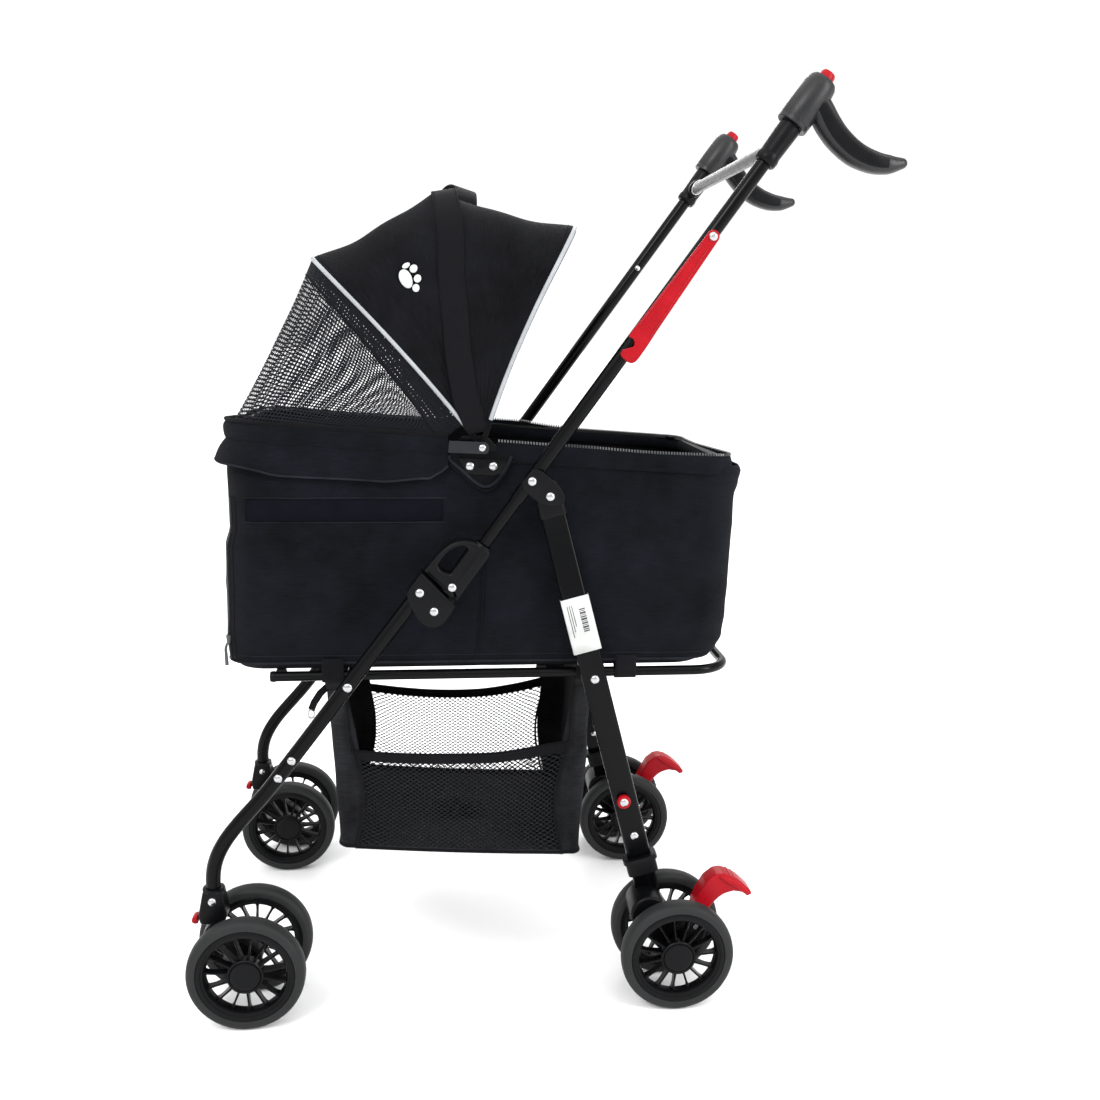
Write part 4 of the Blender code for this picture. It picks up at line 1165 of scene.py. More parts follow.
def wheel_mesh():
    """One wheel about the origin, spinning about Y, its outer face towards -Y."""
    out = Vector((0, -1, 0))
    tyre = [
        (-0.0100, 0.0524), (-0.0106, 0.0550), (-0.0104, 0.0556), (-0.0105, 0.0562), (-0.0101, 0.0585),
        (-0.0088, 0.0606)
    ]
    tyre += [
        (-0.0064, 0.0619), (-0.0030, 0.06245), (0.0, 0.0625), (0.0030, 0.06245), (0.0064, 0.0619),
        (0.0088, 0.0606)
    ]
    tyre += [
        (0.0101, 0.0585), (0.0105, 0.0562), (0.0104, 0.0556), (0.0106, 0.0550), (0.0100, 0.0524),
        (0.0085, 0.0516), (-0.0085, 0.0516)
    ]
    parts = [lathe("tyre", tyre, (0, 0, 0), out, TYRE, 96, True)]
    rim = [
        (-0.0086, 0.0515), (-0.0092, 0.0508), (-0.0092, 0.0478), (-0.0086, 0.0470), (-0.0080, 0.0446),
        (-0.0060, 0.0428), (0.0030, 0.0418)
    ]
    rim += [
        (0.0060, 0.0425), (0.0084, 0.0442), (0.0090, 0.0462), (0.0097, 0.0466), (0.0100, 0.0476),
        (0.0098, 0.0505), (0.0092, 0.0515)
    ]
    parts.append(lathe("rim", rim, (0, 0, 0), out, WHEEL, 96, True))
    hub = [
        (-0.0075, 0.0046), (-0.0075, 0.0150), (-0.0070, 0.0160), (0.0030, 0.0178), (0.0068, 0.0184),
        (0.0080, 0.0192), (0.0090, 0.0192)
    ]
    hub += [(0.0096, 0.0186), (0.0096, 0.0172), (0.0088, 0.0164), (0.0070, 0.0160), (0.0070, 0.0046)]
    parts.append(lathe("hub", hub, (0, 0, 0), out, WHEEL, 72, True))
    cap = [
        (0.0074, 0.0002), (0.0074, 0.0155), (0.0080, 0.0159), (0.0092, 0.0158), (0.0097, 0.0150),
        (0.0099, 0.0120), (0.0100, 0.0002)
    ]
    parts.append(lathe("cap", cap, (0, 0, 0), out, WHEEL, 64))
    for i in range(15):
        a = 2 * math.pi * (i + 0.5) / 15
        ray, across = Vector((math.cos(a), 0, math.sin(a))), Vector((-math.sin(a), 0, math.cos(a)))
        shape = bmesh.new()
        rings = []
        for radius, half, low, high in (
            (0.0170, 0.0017, -0.0060, 0.0060), (0.0230, 0.0012, -0.0050, 0.0052),
            (0.0340, 0.0010, -0.0045, 0.0040), (0.0400, 0.0012, -0.0055, 0.0036),
            (0.0432, 0.0022, -0.0060, 0.0034)
        ):
            section = [
                (-half, low), (half, low), (half, high - 0.0008), (half * 0.5, high), (-half * 0.5, high),
                (-half, high - 0.0008)
            ]
            rings.append([shape.verts.new(ray * radius + across * u + out * v) for u, v in section])
        for one, two in zip(rings, rings[1:]):
            for k in range(6):
                j = (k + 1) % 6
                shape.faces.new((one[k], one[j], two[j], two[k]))
        shape.faces.new(rings[0])
        shape.faces.new(rings[-1])
        bmesh.ops.recalc_face_normals(shape, faces=shape.faces)
        mesh = bpy.data.meshes.new("spoke")
        shape.to_mesh(mesh)
        shape.free()
        shade(mesh, 30)
        parts.append(link("spoke", mesh, WHEEL))
        nub = ray * 0.0447
        parts.append(
            lathe(
                "nub",
                [(0.0030, 0.0002), (0.0030, 0.0016), (0.0062, 0.0014), (0.0068, 0.0009), (0.0068, 0.0002)],
                nub, nub + out, WHEEL, 10
            )
        )
    whole = join("wheel", parts)
    mesh = whole.data
    bpy.data.objects.remove(whole, do_unlink=True)
    return mesh


def wheels():
    shared = wheel_mesh()
    for label, side in SIDES.items():
        for corner, centre, middle in (
            ("front", (0.0, 0.0625), TUBE_Y), ("rear", (WHEELBASE, 0.0625), REAR_WHEEL_Y)
        ):
            for ring, offset in (("inner", -TWIN_WHEEL_OFFSET), ("outer", TWIN_WHEEL_OFFSET)):
                name = f"{corner}_{label}_{ring}"
                made = bpy.data.objects.new(f"wheel_{name}", shared.copy())
                bpy.context.scene.collection.objects.link(made)
                facing = side if ring == "outer" else -side
                turn = 11.0 if corner == "rear" else 3.0
                spin = Matrix.Rotation(math.radians(turn + (7 if ring == "inner" else 0)), 4, "Y")
                flip = Matrix.Rotation(math.pi if facing > 0 else 0.0, 4, "Z")
                made.data.transform(Matrix.Translation(W(centre, side * (middle + offset))) @ spin @ flip)
                place(made, f"wheel_{name}", "wheel_plastic", f"tyre_{name}", f"rim_{name}")


def casters():
    outline = [
        (-0.0475, 0.1425), (-0.0500, 0.1300), (-0.0530, 0.1150), (-0.0510, 0.1045), (-0.0270, 0.1045),
        (-0.0225, 0.1130), (-0.0250, 0.1300), (-0.0275, 0.1425)
    ]
    for label, side in SIDES.items():
        y = side * TUBE_Y
        block = plate("block", rounded(outline, 0.003), y - 0.0115, y + 0.0115, WHEEL, bevel=0.0030, detail=4)
        lip = sweep(
            "lip", [W((CASTER_AXIS, z), y) for z in (0.1385, 0.1390, 0.1428, 0.1433)],
            [oval(a, a, 2.6, 36) for a in (0.0205, 0.0225, 0.0225, 0.0210)], WHEEL, across=(1, 0, 0)
        )
        place(join(f"swivel_socket_{label}", [block, lip]), "front_legs", "plastic", f"caster_socket_{label}")
        arm = belt((-0.0365, 0.0895), 0.0130, (0.0, 0.0625), 0.0125, 14)
        fork = plate("arm", arm, y - 0.0105, y + 0.0105, WHEEL, bevel=0.0030, detail=4)
        stem = lathe(
            "stem", [(0.0, 0.0002), (0.0, 0.0050), (0.0265, 0.0050), (0.0265, 0.0002)],
            W((CASTER_AXIS, 0.0950), y), W((CASTER_AXIS, 0.2), y), WIRE, 28
        )
        axle = lathe(
            "axle", [(0.0, 0.0002), (0.0, 0.0040), (0.091, 0.0040)], W((0.0, 0.0625), y - 0.0455),
            W((0.0, 0.0625), y + 0.1), WIRE, 24
        )
        place(
            join(f"swivel_fork_{label}", [fork, stem, axle]), f"caster_{label}", "plastic",
            f"caster_fork_{label}"
        )
        tongue = rounded(
            [
                (-0.0542, 0.1128), (-0.0580, 0.1126), (-0.0608, 0.1100), (-0.0612, 0.1058),
                (-0.0590, 0.1036), (-0.0542, 0.1036)
            ],
            0.002
        )
        tab = plate(f"swivel_lock_{label}", tongue, y - 0.006, y + 0.006, RED, bevel=0.0014, detail=3)
        place(tab, f"swivel_tab_{label}", "red_plastic", f"swivel_tab_{label}")


front_legs()
fold_brackets()
lock_sleeves()
handles()
grips()
rear_legs()
paper_label()
pedals()
hook()
base()
wheels()
casters()


# Soft goods


def skin(name, rings, finish, closed_path=False, closed_ring=True, caps=False, angle=50, thickness=0.0):
    """Surface through rings of world points, with a UV map in metres along and round it."""
    rows = [list(ring) + ([ring[0]] if closed_ring else []) for ring in rings]
    if closed_path:
        rows.append(rows[0])
    spots = metric(rows)
    spots = [[(v, u) for u, v in line] for line in spots]
    shape = bmesh.new()
    layer = shape.loops.layers.uv.new("UVMap")
    count = len(rings[0])
    verts = [[shape.verts.new(p) for p in ring] for ring in rings]
    if closed_path:
        verts.append(verts[0])
    for r in range(len(verts) - 1):
        for c in range(count if closed_ring else count - 1):
            d = (c + 1) % count
            face = shape.faces.new((verts[r][c], verts[r][d], verts[r + 1][d], verts[r + 1][c]))
            for loop, spot in zip(face.loops, ((r, c), (r, c + 1), (r + 1, c + 1), (r + 1, c))):
                loop[layer].uv = spots[spot[0]][spot[1]]
    if caps:
        shape.faces.new(verts[0])
        shape.faces.new(verts[-1])
    bmesh.ops.recalc_face_normals(shape, faces=shape.faces)
    mesh = bpy.data.meshes.new(name)
    shape.to_mesh(mesh)
    shape.free()
    shade(mesh, angle)
    made = link(name, mesh, finish)
    if thickness:
        wall = made.modifiers.new("thickness", "SOLIDIFY")
        wall.thickness = thickness
        wall.offset = 0.0
    return made


def between(table, value):
    """Smooth value from a list of (key, number) rows."""
    keys = [row[0] for row in table]
    if value <= keys[0]:
        return table[0][1]
    for (a, x), (b, y) in zip(table, table[1:]):
        if value <= b:
            t = (value - a) / (b - a)
            t = t * t * (3 - 2 * t)
            return x + (y - x) * t
    return table[-1][1]


def smooth(value, low, high):
    """1 at or past high and 0 at or past low, whichever way round they are."""
    t = min(1.0, max(0.0, (value - low) / (high - low)))
    return t * t * (3 - 2 * t)


def ripple(x, y, z, seed=0.0):
    return noise.noise(Vector((x, y, z + seed * 7.31)))


def rim_z(x):
    return 0.631 - 0.062 * (x + 0.012)


BAG_FRONT = (
    (0.3735, -0.0130), (0.381, -0.0215), (0.400, -0.0232), (0.470, -0.0228), (0.505, -0.0225),
    (0.530, -0.0165), (0.560, -0.0165), (0.590, -0.0170), (0.630, -0.0120)
)
BAG_REAR = (
    (0.3735, 0.4990), (0.378, 0.5100), (0.386, 0.5190), (0.402, 0.5255), (0.430, 0.5290), (0.460, 0.5305),
    (0.515, 0.5315), (0.560, 0.5330), (0.576, 0.5370), (0.588, 0.5400), (0.600, 0.5350), (0.612, 0.5290)
)
FLAP_DROP = (
    (0.0, 0.0120), (0.012, 0.0200), (0.028, 0.0265), (0.098, 0.0330), (0.237, 0.0335), (0.300, 0.0250),
    (0.360, 0.0215), (0.500, 0.0215)
)
BAG_HALF = ((0.3735, 0.1420), (0.381, 0.1475), (0.420, 0.1500), (0.520, 0.1505), (0.620, 0.1490))


def plan_point(share, front, rear, half, radius):
    """Point and outward direction at a share of the way round a rounded rectangle, from its left rear."""
    length, width = rear - front - 2 * radius, 2 * half - 2 * radius
    bend = math.pi * radius / 2
    spans = (length, bend, width, bend, length, bend, width, bend)
    left = share % 1.0 * sum(spans)
    corners = (
        (front + radius, -half + radius), (front + radius, half - radius), (rear - radius, half - radius),
        (rear - radius, -half + radius)
    )
    starts = ((rear - radius, -half), (front, -half + radius), (front + radius, half), (rear, half - radius))
    ways = ((-1, 0), (0, 1), (1, 0), (0, -1))
    outs = ((0, -1), (-1, 0), (0, 1), (1, 0))
    for k, span in enumerate(spans):
        if left <= span or k == 7:
            side = k // 2
            if k % 2 == 0:
                start, way, out = starts[side], ways[side], outs[side]
                return start[0] + way[0] * left, start[1] + way[1] * left, out[0], out[1]
            first, second = outs[side], outs[(side + 1) % 4]
            a = left / span * math.pi / 2
            ox, oy = first[
                0
            ] * math.cos(a) + second[0] * math.sin(a), first[1] * math.cos(a) + second[1] * math.sin(a)
            centre = corners[side]
            return centre[0] + ox * radius, centre[1] + oy * radius, ox, oy
        left -= span
    return 0, 0, 0, 0


def bag_wall(share, level, lift=0.0):
    """World point on the carrier's outer cloth; level runs from 0 at the floor to 1 at the rim."""
    front, rear, half = -0.016, 0.529, 0.150
    x, y, ox, oy = plan_point(share, front, rear, half, 0.034)
    top = rim_z(x) - 0.003
    z = FLOOR_Z + (top - FLOOR_Z) * level
    front, rear, half = between(BAG_FRONT, z), between(BAG_REAR, z), between(BAG_HALF, z)
    x, y, ox, oy = plan_point(share, front, rear, half, 0.034)
    middle = math.sin(math.pi * min(1.0, max(0.0, level)))
    bulge = 0.0020 * ripple(x * 5.0, y * 5.0, z * 6.0, 1.0) + 0.0010 * ripple(
        x * 13.0 + z * 6.0, y * 13.0, z * 17.0, 2.0
    )
    ridge = 0.0013 * max(0.0, 0.30 - abs(ripple(x * 7.0 + z * 6.0, y * 7.0, z * 9.0 - x * 5.0, 3.0))) / 0.30
    ridge += 0.0008 * max(
        0.0, 0.25 - abs(ripple(x * 12.0 - z * 5.0, y * 12.0, z * 15.0 + x * 4.0, 4.0))
    ) / 0.25
    gather = 0.0007 * math.sin(x * 70.0 + 4.0 * ripple(x * 9.0, y * 9.0, z * 5.0, 5.0)) * (1.0 - level) ** 4
    hang = -0.0016 * math.exp(
        -(((z - 0.566) / 0.006) ** 2)
    ) * smooth(x, 0.36, 0.42) * (1 - smooth(x, 0.50, 0.53))
    sag = -0.0010 * math.exp(-(((x - 0.254) / 0.004) ** 2)) * (abs(y) > 0.14)
    out = (bulge + ridge + gather + hang) * min(1.0, 3.0 * middle) + sag + lift
    return W((x + ox * out, z), y + oy * out)


def around(x, side, front, rear, half, radius):
    """Share of the way round a rounded rectangle at which a side has this x."""
    length, width, bend = rear - front - 2 * radius, 2 * half - 2 * radius, math.pi * radius / 2
    total = 2 * length + 2 * width + 4 * bend
    if side < 0:
        return (rear - radius - x) / total
    return (length + 2 * bend + width + x - front - radius) / total


def share_of(x, side):
    """Share of the way round the carrier at which a side wall has this x."""
    return around(x, side, -0.016, 0.529, 0.150, 0.034)


def level_of(x, z):
    return (z - FLOOR_Z) / (rim_z(x) - 0.003 - FLOOR_Z)


def carrier():
    columns = 360
    levels = [0.0, 0.010, 0.022, 0.035, 0.05] + [0.05 + 0.95 * i / 60 for i in range(1, 61)]
    wall = [[bag_wall(c / columns, level) for c in range(columns)] for level in levels]
    centre = sum(wall[0], Vector()) / columns
    floor = []
    for t in (0.15, 0.5, 0.8, 0.93):
        floor.append([centre.lerp(p, t) + Vector((0, 0, 0.0006)) for p in wall[0]])
    bag = grid("carrier_cloth", floor + wall, [CLOTH, LINING], 0.0018, closed=True, offset=1.0)
    shape = bmesh.new()
    shape.from_mesh(bag.data)
    shape.verts.ensure_lookup_table()
    shape.faces.new([shape.verts[i] for i in range(columns)])
    bmesh.ops.recalc_face_normals(shape, faces=shape.faces)
    up = sum((f.normal.z for f in shape.faces if abs(f.calc_center_median().z - FLOOR_Z) < 0.003), 0.0)
    if up > 0:
        bmesh.ops.reverse_faces(shape, faces=shape.faces)
    shape.to_mesh(bag.data)
    shape.free()
    shade(bag.data, 60)
    bag.modifiers["thickness"].offset = -1.0
    bag.modifiers["thickness"].material_offset = 1
    place(bag, "carrier", "fabric", "carrier_bag")
    pad = floor_pad()
    for label, side in SIDES.items():
        seams(label, side)
    corner_zips()
    hems()
    return pad


def floor_pad():
    """Thin quilted pad over the base board."""
    x0, x1, half = 0.006, 0.460, 0.130
    nx, ny = 96, 56
    top = []
    for i in range(nx + 1):
        row = []
        for j in range(ny + 1):
            u, v = i / nx, j / ny
            x = x0 + (x1 - x0) * u
            y = -half + 2 * half * v
            edge = min(1.0, 12 * min(u * 1.7, (1 - u) * 1.7, v, 1 - v))
            channels = abs(math.sin(math.pi * 5 * u)) ** 0.5 * abs(math.sin(math.pi * 3 * v)) ** 0.5
            soft = 0.0004 * ripple(x * 30, y * 30, 0.0, 5.0)
            rise = 0.0012 + (0.0038 * channels + soft) * edge
            row.append(W((x, 0.3778 + rise), y))
        top.append(row)
    made = grid("floor_pad", top, PAD)
    shape = bmesh.new()
    shape.from_mesh(made.data)
    edges = [e for e in shape.edges if e.is_boundary]
    pulled = bmesh.ops.extrude_edge_only(shape, edges=edges)
    for item in pulled["geom"]:
        if isinstance(item, bmesh.types.BMVert):
            item.co.z = 0.3775
    rim = [e for e in shape.edges if e.is_boundary]
    bmesh.ops.contextual_create(shape, geom=rim)
    bmesh.ops.recalc_face_normals(shape, faces=shape.faces)
    shape.to_mesh(made.data)
    shape.free()
    shade(made.data, 60)
    place(made, "carrier", "board", "floor_board")


def seams(label, side):
    """Side seam, loop strip, cut-out with its plate, and the canopy's pivot bar."""
    share = share_of(0.254, side)
    zs = [0.380 + 0.130 * i / 24 for i in range(25)]
    made = [
        tube(
            "side_seam", [bag_wall(share, level_of(0.254, z), 0.0004) for z in zs], 0.0007, CLOTH, detail=2
        )
    ]
    for x in (0.2570, 0.2510):
        line = []
        for i in range(26):
            z = 0.381 + 0.128 * i / 25
            line.append(bag_wall(share_of(x, side), level_of(x, z), 0.0002 + (0.0003 if i % 2 else 0.0)))
        made.append(tube("stitch", line, 0.00028, TAPE, detail=1))
    place(join(f"side_seam_{label}", made), "carrier", "fabric")
    rows = []
    for z in (0.5370, 0.5374, 0.5480, 0.5586, 0.5590):
        lift = 0.0003 if z in (0.5370, 0.5590) else 0.0009
        rows.append(
            [
                bag_wall(share_of(x, side), level_of(x, z), lift)
                for x in [0.004 + 0.204 * i / 60 for i in range(61)]
            ]
        )
    strip = grid(f"loop_strip_{label}", rows, FUZZ, 0.0004)
    place(strip, "carrier", "fabric")
    # The tuck lines use the lighter edge cloth: painted highlight along the folds.
    for z in (0.5350, 0.5610):
        line = [
            bag_wall(share_of(x, side), level_of(x, z), 0.0003)
            for x in [0.0 + 0.212 * i / 70 for i in range(71)]
        ]
        place(tube(f"side_tuck_{label}_{round(z * 1000)}", line, 0.0005, LIT_EDGE_CLOTH, detail=2), "carrier", "fabric")
    notch = [
        (0.2170, 0.6065), (0.2190, 0.6010), (0.2330, 0.5890), (0.2440, 0.5790), (0.2550, 0.5735),
        (0.2650, 0.5775), (0.2740, 0.5880), (0.2800, 0.5990), (0.2830, 0.6060)
    ]
    curve = spline(notch, 5)
    recess = plate(
        "recess", [tuple(p) for p in curve] + [(0.2830, 0.6100), (0.2170, 0.6130)], side * 0.1531,
        side * 0.1541, LINING, bevel=0.0003
    )
    backing = plate(
        "backing",
        rounded(
            [(0.2260, 0.6045), (0.2790, 0.6020), (0.2760, 0.5890), (0.2640, 0.5850), (0.2360, 0.5870)],
            0.003
        ),
        side * 0.1540, side * 0.1552, FRAME, bevel=0.0004
    )
    # Rim of the cut-out in the lighter edge cloth: painted highlight along its edge.
    border = tube("border", [W(p, side * 0.1548) for p in curve], 0.0016, LIT_EDGE_CLOTH, detail=3)
    border_two = tube(
        "border", [W((p[0], p[1] - 0.0042), side * 0.1538) for p in curve], 0.0010, CLOTH, detail=2
    )
    hole = lathe(
        "hole", [(0.0, 0.0022), (0.0006, 0.0026), (0.0010, 0.0022)], W((0.2510, 0.5955), side * 0.1550),
        W((0.2510, 0.5955), side * 0.2), LINING, 20
    )
    place(join(f"cutout_{label}", [recess, backing, border, border_two, hole]), "carrier", "fabric")
    bar = [(0.2160, 0.6110), (0.2170, 0.6235), (0.2560, 0.6220), (0.2590, 0.6160), (0.2570, 0.6095)]
    bracket = plate(
        f"pivot_bar_{label}", rounded(bar, [0.0006, 0.0006, 0.004, 0.004, 0.004]), side * 0.1672,
        side * 0.1690, BAR, bevel=0.0005
    )
    place(bracket, "carrier", "plastic")
    out = Vector((0, side, 0))
    spots = [(W(CANOPY_PIVOT, side * 0.1690), out, 0.0042)]
    spots += [(W((x, 0.5955), side * 0.1552), out, 0.0048) for x in (0.2390, 0.2635)]
    rivets(f"rivets_canopy_{label}", spots, "carrier", RIVET)


def zip_run(name, line, ups, body, tooth=0.0021, size=(0.0006, 0.0012, 0.0014)):
    """Row of zip teeth along a line of world points; ups gives the way they stand out."""
    lengths = [0.0]
    for a, b in zip(line, line[1:]):
        lengths.append(lengths[-1] + (b - a).length)
    shape = bmesh.new()
    count = int(lengths[-1] / tooth)
    k = 0
    for i in range(count):
        s = (i + 0.5) * tooth
        while k < len(lengths) - 2 and lengths[k + 1] < s:
            k += 1
        t = (s - lengths[k]) / max(1e-9, lengths[k + 1] - lengths[k])
        point = line[k].lerp(line[k + 1], t)
        ahead = (line[k + 1] - line[k]).normalized()
        up = ups[k].normalized()
        other = ahead.cross(up)
        turn = Matrix((ahead, other, up)).transposed().to_4x4()
        matrix = Matrix.Translation(point + up * size[2] * 0.6) @ turn @ Matrix.Diagonal(
            (size[0] * 2, size[1] * 2, size[2] * 2, 1)
        ) @ Matrix.Rotation(0.12, 4, "Z")
        bmesh.ops.create_cube(shape, size=1.0, matrix=matrix)
    bmesh.ops.bevel(shape, geom=shape.edges, offset=0.00022, segments=1, affect="EDGES")
    mesh = bpy.data.meshes.new(name)
    shape.to_mesh(mesh)
    shape.free()
    return place(link(name, mesh, TEETH), body, "plastic")


def corner_zips():
    """Upright zip at each front corner of the carrier, with its pull at the bottom."""
    for label, side in SIDES.items():
        share = share_of(0.018, side) - side * 0.0206
        zs = [0.384 + 0.176 * i / 40 for i in range(41)]
        rows = []
        for z in zs:
            rows.append(
                [
                    bag_wall(share + d / 1.57, level_of(-0.01, z), lift)
                    for d, lift in (
                        (-0.007, 0.0003), (-0.006, 0.0010), (0.0, 0.0013), (0.006, 0.0010), (0.007, 0.0003)
                    )
                ]
            )
        strip = grid(f"corner_zip_tape_{label}", rows, TAPE, 0.0004)
        place(strip, "carrier", "fabric")
        line = [bag_wall(share, level_of(-0.01, z), 0.0014) for z in zs]
        outs = [bag_wall(share, level_of(-0.01, z), 0.02) - p for z, p in zip(zs, line)]
        zip_run(f"corner_zip_teeth_{label}", line, outs, "carrier")
        low = bag_wall(share, level_of(-0.01, 0.402), 0.0030)
        out = outs[4].normalized()
        slider = tube("slider", [low, low + Vector((0, 0, 0.009))], 0.0030, TEETH, [0.7, 1.0], detail=3)
        pull = tube(
            "pull",
            [
                low + out * 0.0022, low + out * 0.0040 - Vector((0, 0, 0.006)),
                low + out * 0.0032 - Vector((0, 0, 0.024))
            ],
            0.0016, TEETH, [0.8, 1.0, 1.3], detail=3
        )
        place(join(f"corner_zip_pull_{label}", [slider, pull]), "carrier", "plastic")


def hems():
    """Bottom hem, rim sleeve, front flap with its piping, and the open zip round the rear of the rim."""
    columns = 200
    # Bottom hem and stitch line in the lighter edge cloth: painted highlight along them.
    for name, level, lift, radius in (
        ("bottom_hem", 0.030, 0.0006, 0.0013), ("bottom_stitch", 0.062, 0.0002, 0.0004)
    ):
        line = [bag_wall(c / columns, level, lift) for c in range(columns)]
        place(tube(name, line, radius, LIT_EDGE_CLOTH, closed=True, detail=2), "carrier", "fabric")
    start = share_of(0.2165, -1)
    stop = share_of(0.2165, 1)
    front_path = [start + (stop - start) * i / 150 for i in range(151)]
    sleeve, flap_rows = [], [[] for _ in range(9)]
    edge_line = []
    for i, share in enumerate(front_path):
        x, y, ox, oy = plan_point(share, -0.0135, 0.527, 0.1500, 0.034)
        top = rim_z(x)
        t = i / 150
        wob = 0.0009 * ripple(x * 22, y * 22, 0.0, 6.0)
        slump = 0.0075 * smooth(y, -0.13, 0.02) + 0.0015
        ring = []
        for u, v in oval(0.0120 + 2 * wob, 0.0205, 2.2, 24):
            lean = 0.0012 * ripple(x * 26 + v * 40, y * 26, v * 70, 7.0)
            ring.append(
                W(
                    (x + ox * (u + 0.0008 + lean), top + v + 0.0010 + wob - slump),
                    y + oy * (u + 0.0008 + lean)
                )
            )
        sleeve.append(ring)
        drop = between(FLAP_DROP, min(t, 1 - t)) + 0.0010 * ripple(x * 14, y * 14, 0.0, 8.0)
        for k in range(9):
            f = k / 8
            swell = 0.0042 * math.sin(math.pi * f * 0.75) + 0.0018 * f + 0.0014 * ripple(
                x * 18, y * 18, f * 2.0, 9.0
            ) * f
            tip = 0.0080 * f * smooth(min(t, 1 - t), 0.24, 0.30)
            out = 0.0026 + swell + tip
            flap_rows[k].append(W((x + ox * out, top - 0.0085 - drop * f), y + oy * out))
        edge_line.append(flap_rows[8][-1].copy())
    band = skin("rim_sleeve", sleeve, CLOTH, caps=True, angle=70)
    place(band, "carrier", "fabric")
    flap = grid("front_flap", flap_rows, CLOTH, 0.0012, offset=0.0)
    place(flap, "carrier", "fabric")
    # Bead on the flap's lower edge in the lighter edge cloth: painted highlight where the edge catches the
    # light.
    place(tube("flap_piping", edge_line, 0.0013, LIT_EDGE_CLOTH, detail=3), "carrier", "fabric")
    place(
        tube(
            "net_binding", [r[5].lerp(r[4], 0.5) + Vector((0, 0, 0.0018)) for r in sleeve], 0.0022, TAPE,
            detail=3
        ),
        "carrier", "fabric"
    )
    begin, end = share_of(0.2660, 1), share_of(0.2660, -1) + 1.0
    rear_path = [begin + (end - begin) * i / 150 for i in range(151)]
    sleeve, tape_rows, teeth, ups = [], [[] for _ in range(4)], [], []
    for share in rear_path:
        x, y, ox, oy = plan_point(share, -0.012, 0.525, 0.1485, 0.032)
        top = rim_z(x)
        fold = 0.0010 * ripple(x * 25, y * 25, 0.0, 10.0)
        sleeve.append(
            [
                W((x + ox * (u + fold), top + v - 0.0060), y + oy * (u + fold))
                for u, v in oval(0.0104, 0.0170, 2.0, 16)
            ]
        )
        far = smooth(y, -0.13, 0.05) * smooth(x, 0.30, 0.36)
        height = 0.0072 - 0.0040 * far + 0.0022 * ripple(x * 12, y * 8, 0.0, 11.0)
        inward = 0.0015 + 0.0030 * far + 0.0016 * ripple(x * 20, y * 12, 0.0, 12.0)
        for k, (u, v) in enumerate(
            (
                (0.0046, -0.0125), (0.0052, -0.0070), (0.0042, 0.4 * height - 0.001),
                (0.0040 - inward, height)
            )
        ):
            tape_rows[k].append(W((x + ox * u, top + v), y + oy * u))
        teeth.append(tape_rows[3][-1].copy())
        ups.append(Vector((-ox * 0.35, -oy * 0.35, 1.0)))
    place(skin("rear_rim_hem", sleeve, CLOTH, caps=True, angle=70), "carrier", "fabric")
    edge = grid("rear_zip_tape", tape_rows, CLOTH, 0.0006, offset=0.0, levels=1)
    place(edge, "carrier", "fabric")
    zip_run("rear_zip_teeth", teeth, ups, "carrier", 0.0031, (0.0009, 0.0014, 0.0015))


def rail_loops():
    """Webbing loops that hold the carrier on its base rails."""
    for label, side in SIDES.items():
        for k, x in enumerate((0.0915, 0.4115)):
            path = [
                (0.1360, 0.3748), (0.1380, 0.3700), (0.1388, 0.3655), (0.1405, 0.3605), (0.1450, 0.3588),
                (0.1495, 0.3605), (0.1512, 0.3655), (0.1518, 0.3720), (0.1512, 0.3800), (0.1520, 0.3860)
            ]
            points = [W((x, z), side * y) for y, z in path]
            points = [Vector(p) for p in spline(points, 3)]
            strap = tape(f"rail_loop_{label}_{k}", points, (1, 0, 0), 0.0235, 0.0013, TAPE)
            place(strap, "carrier", "fabric")


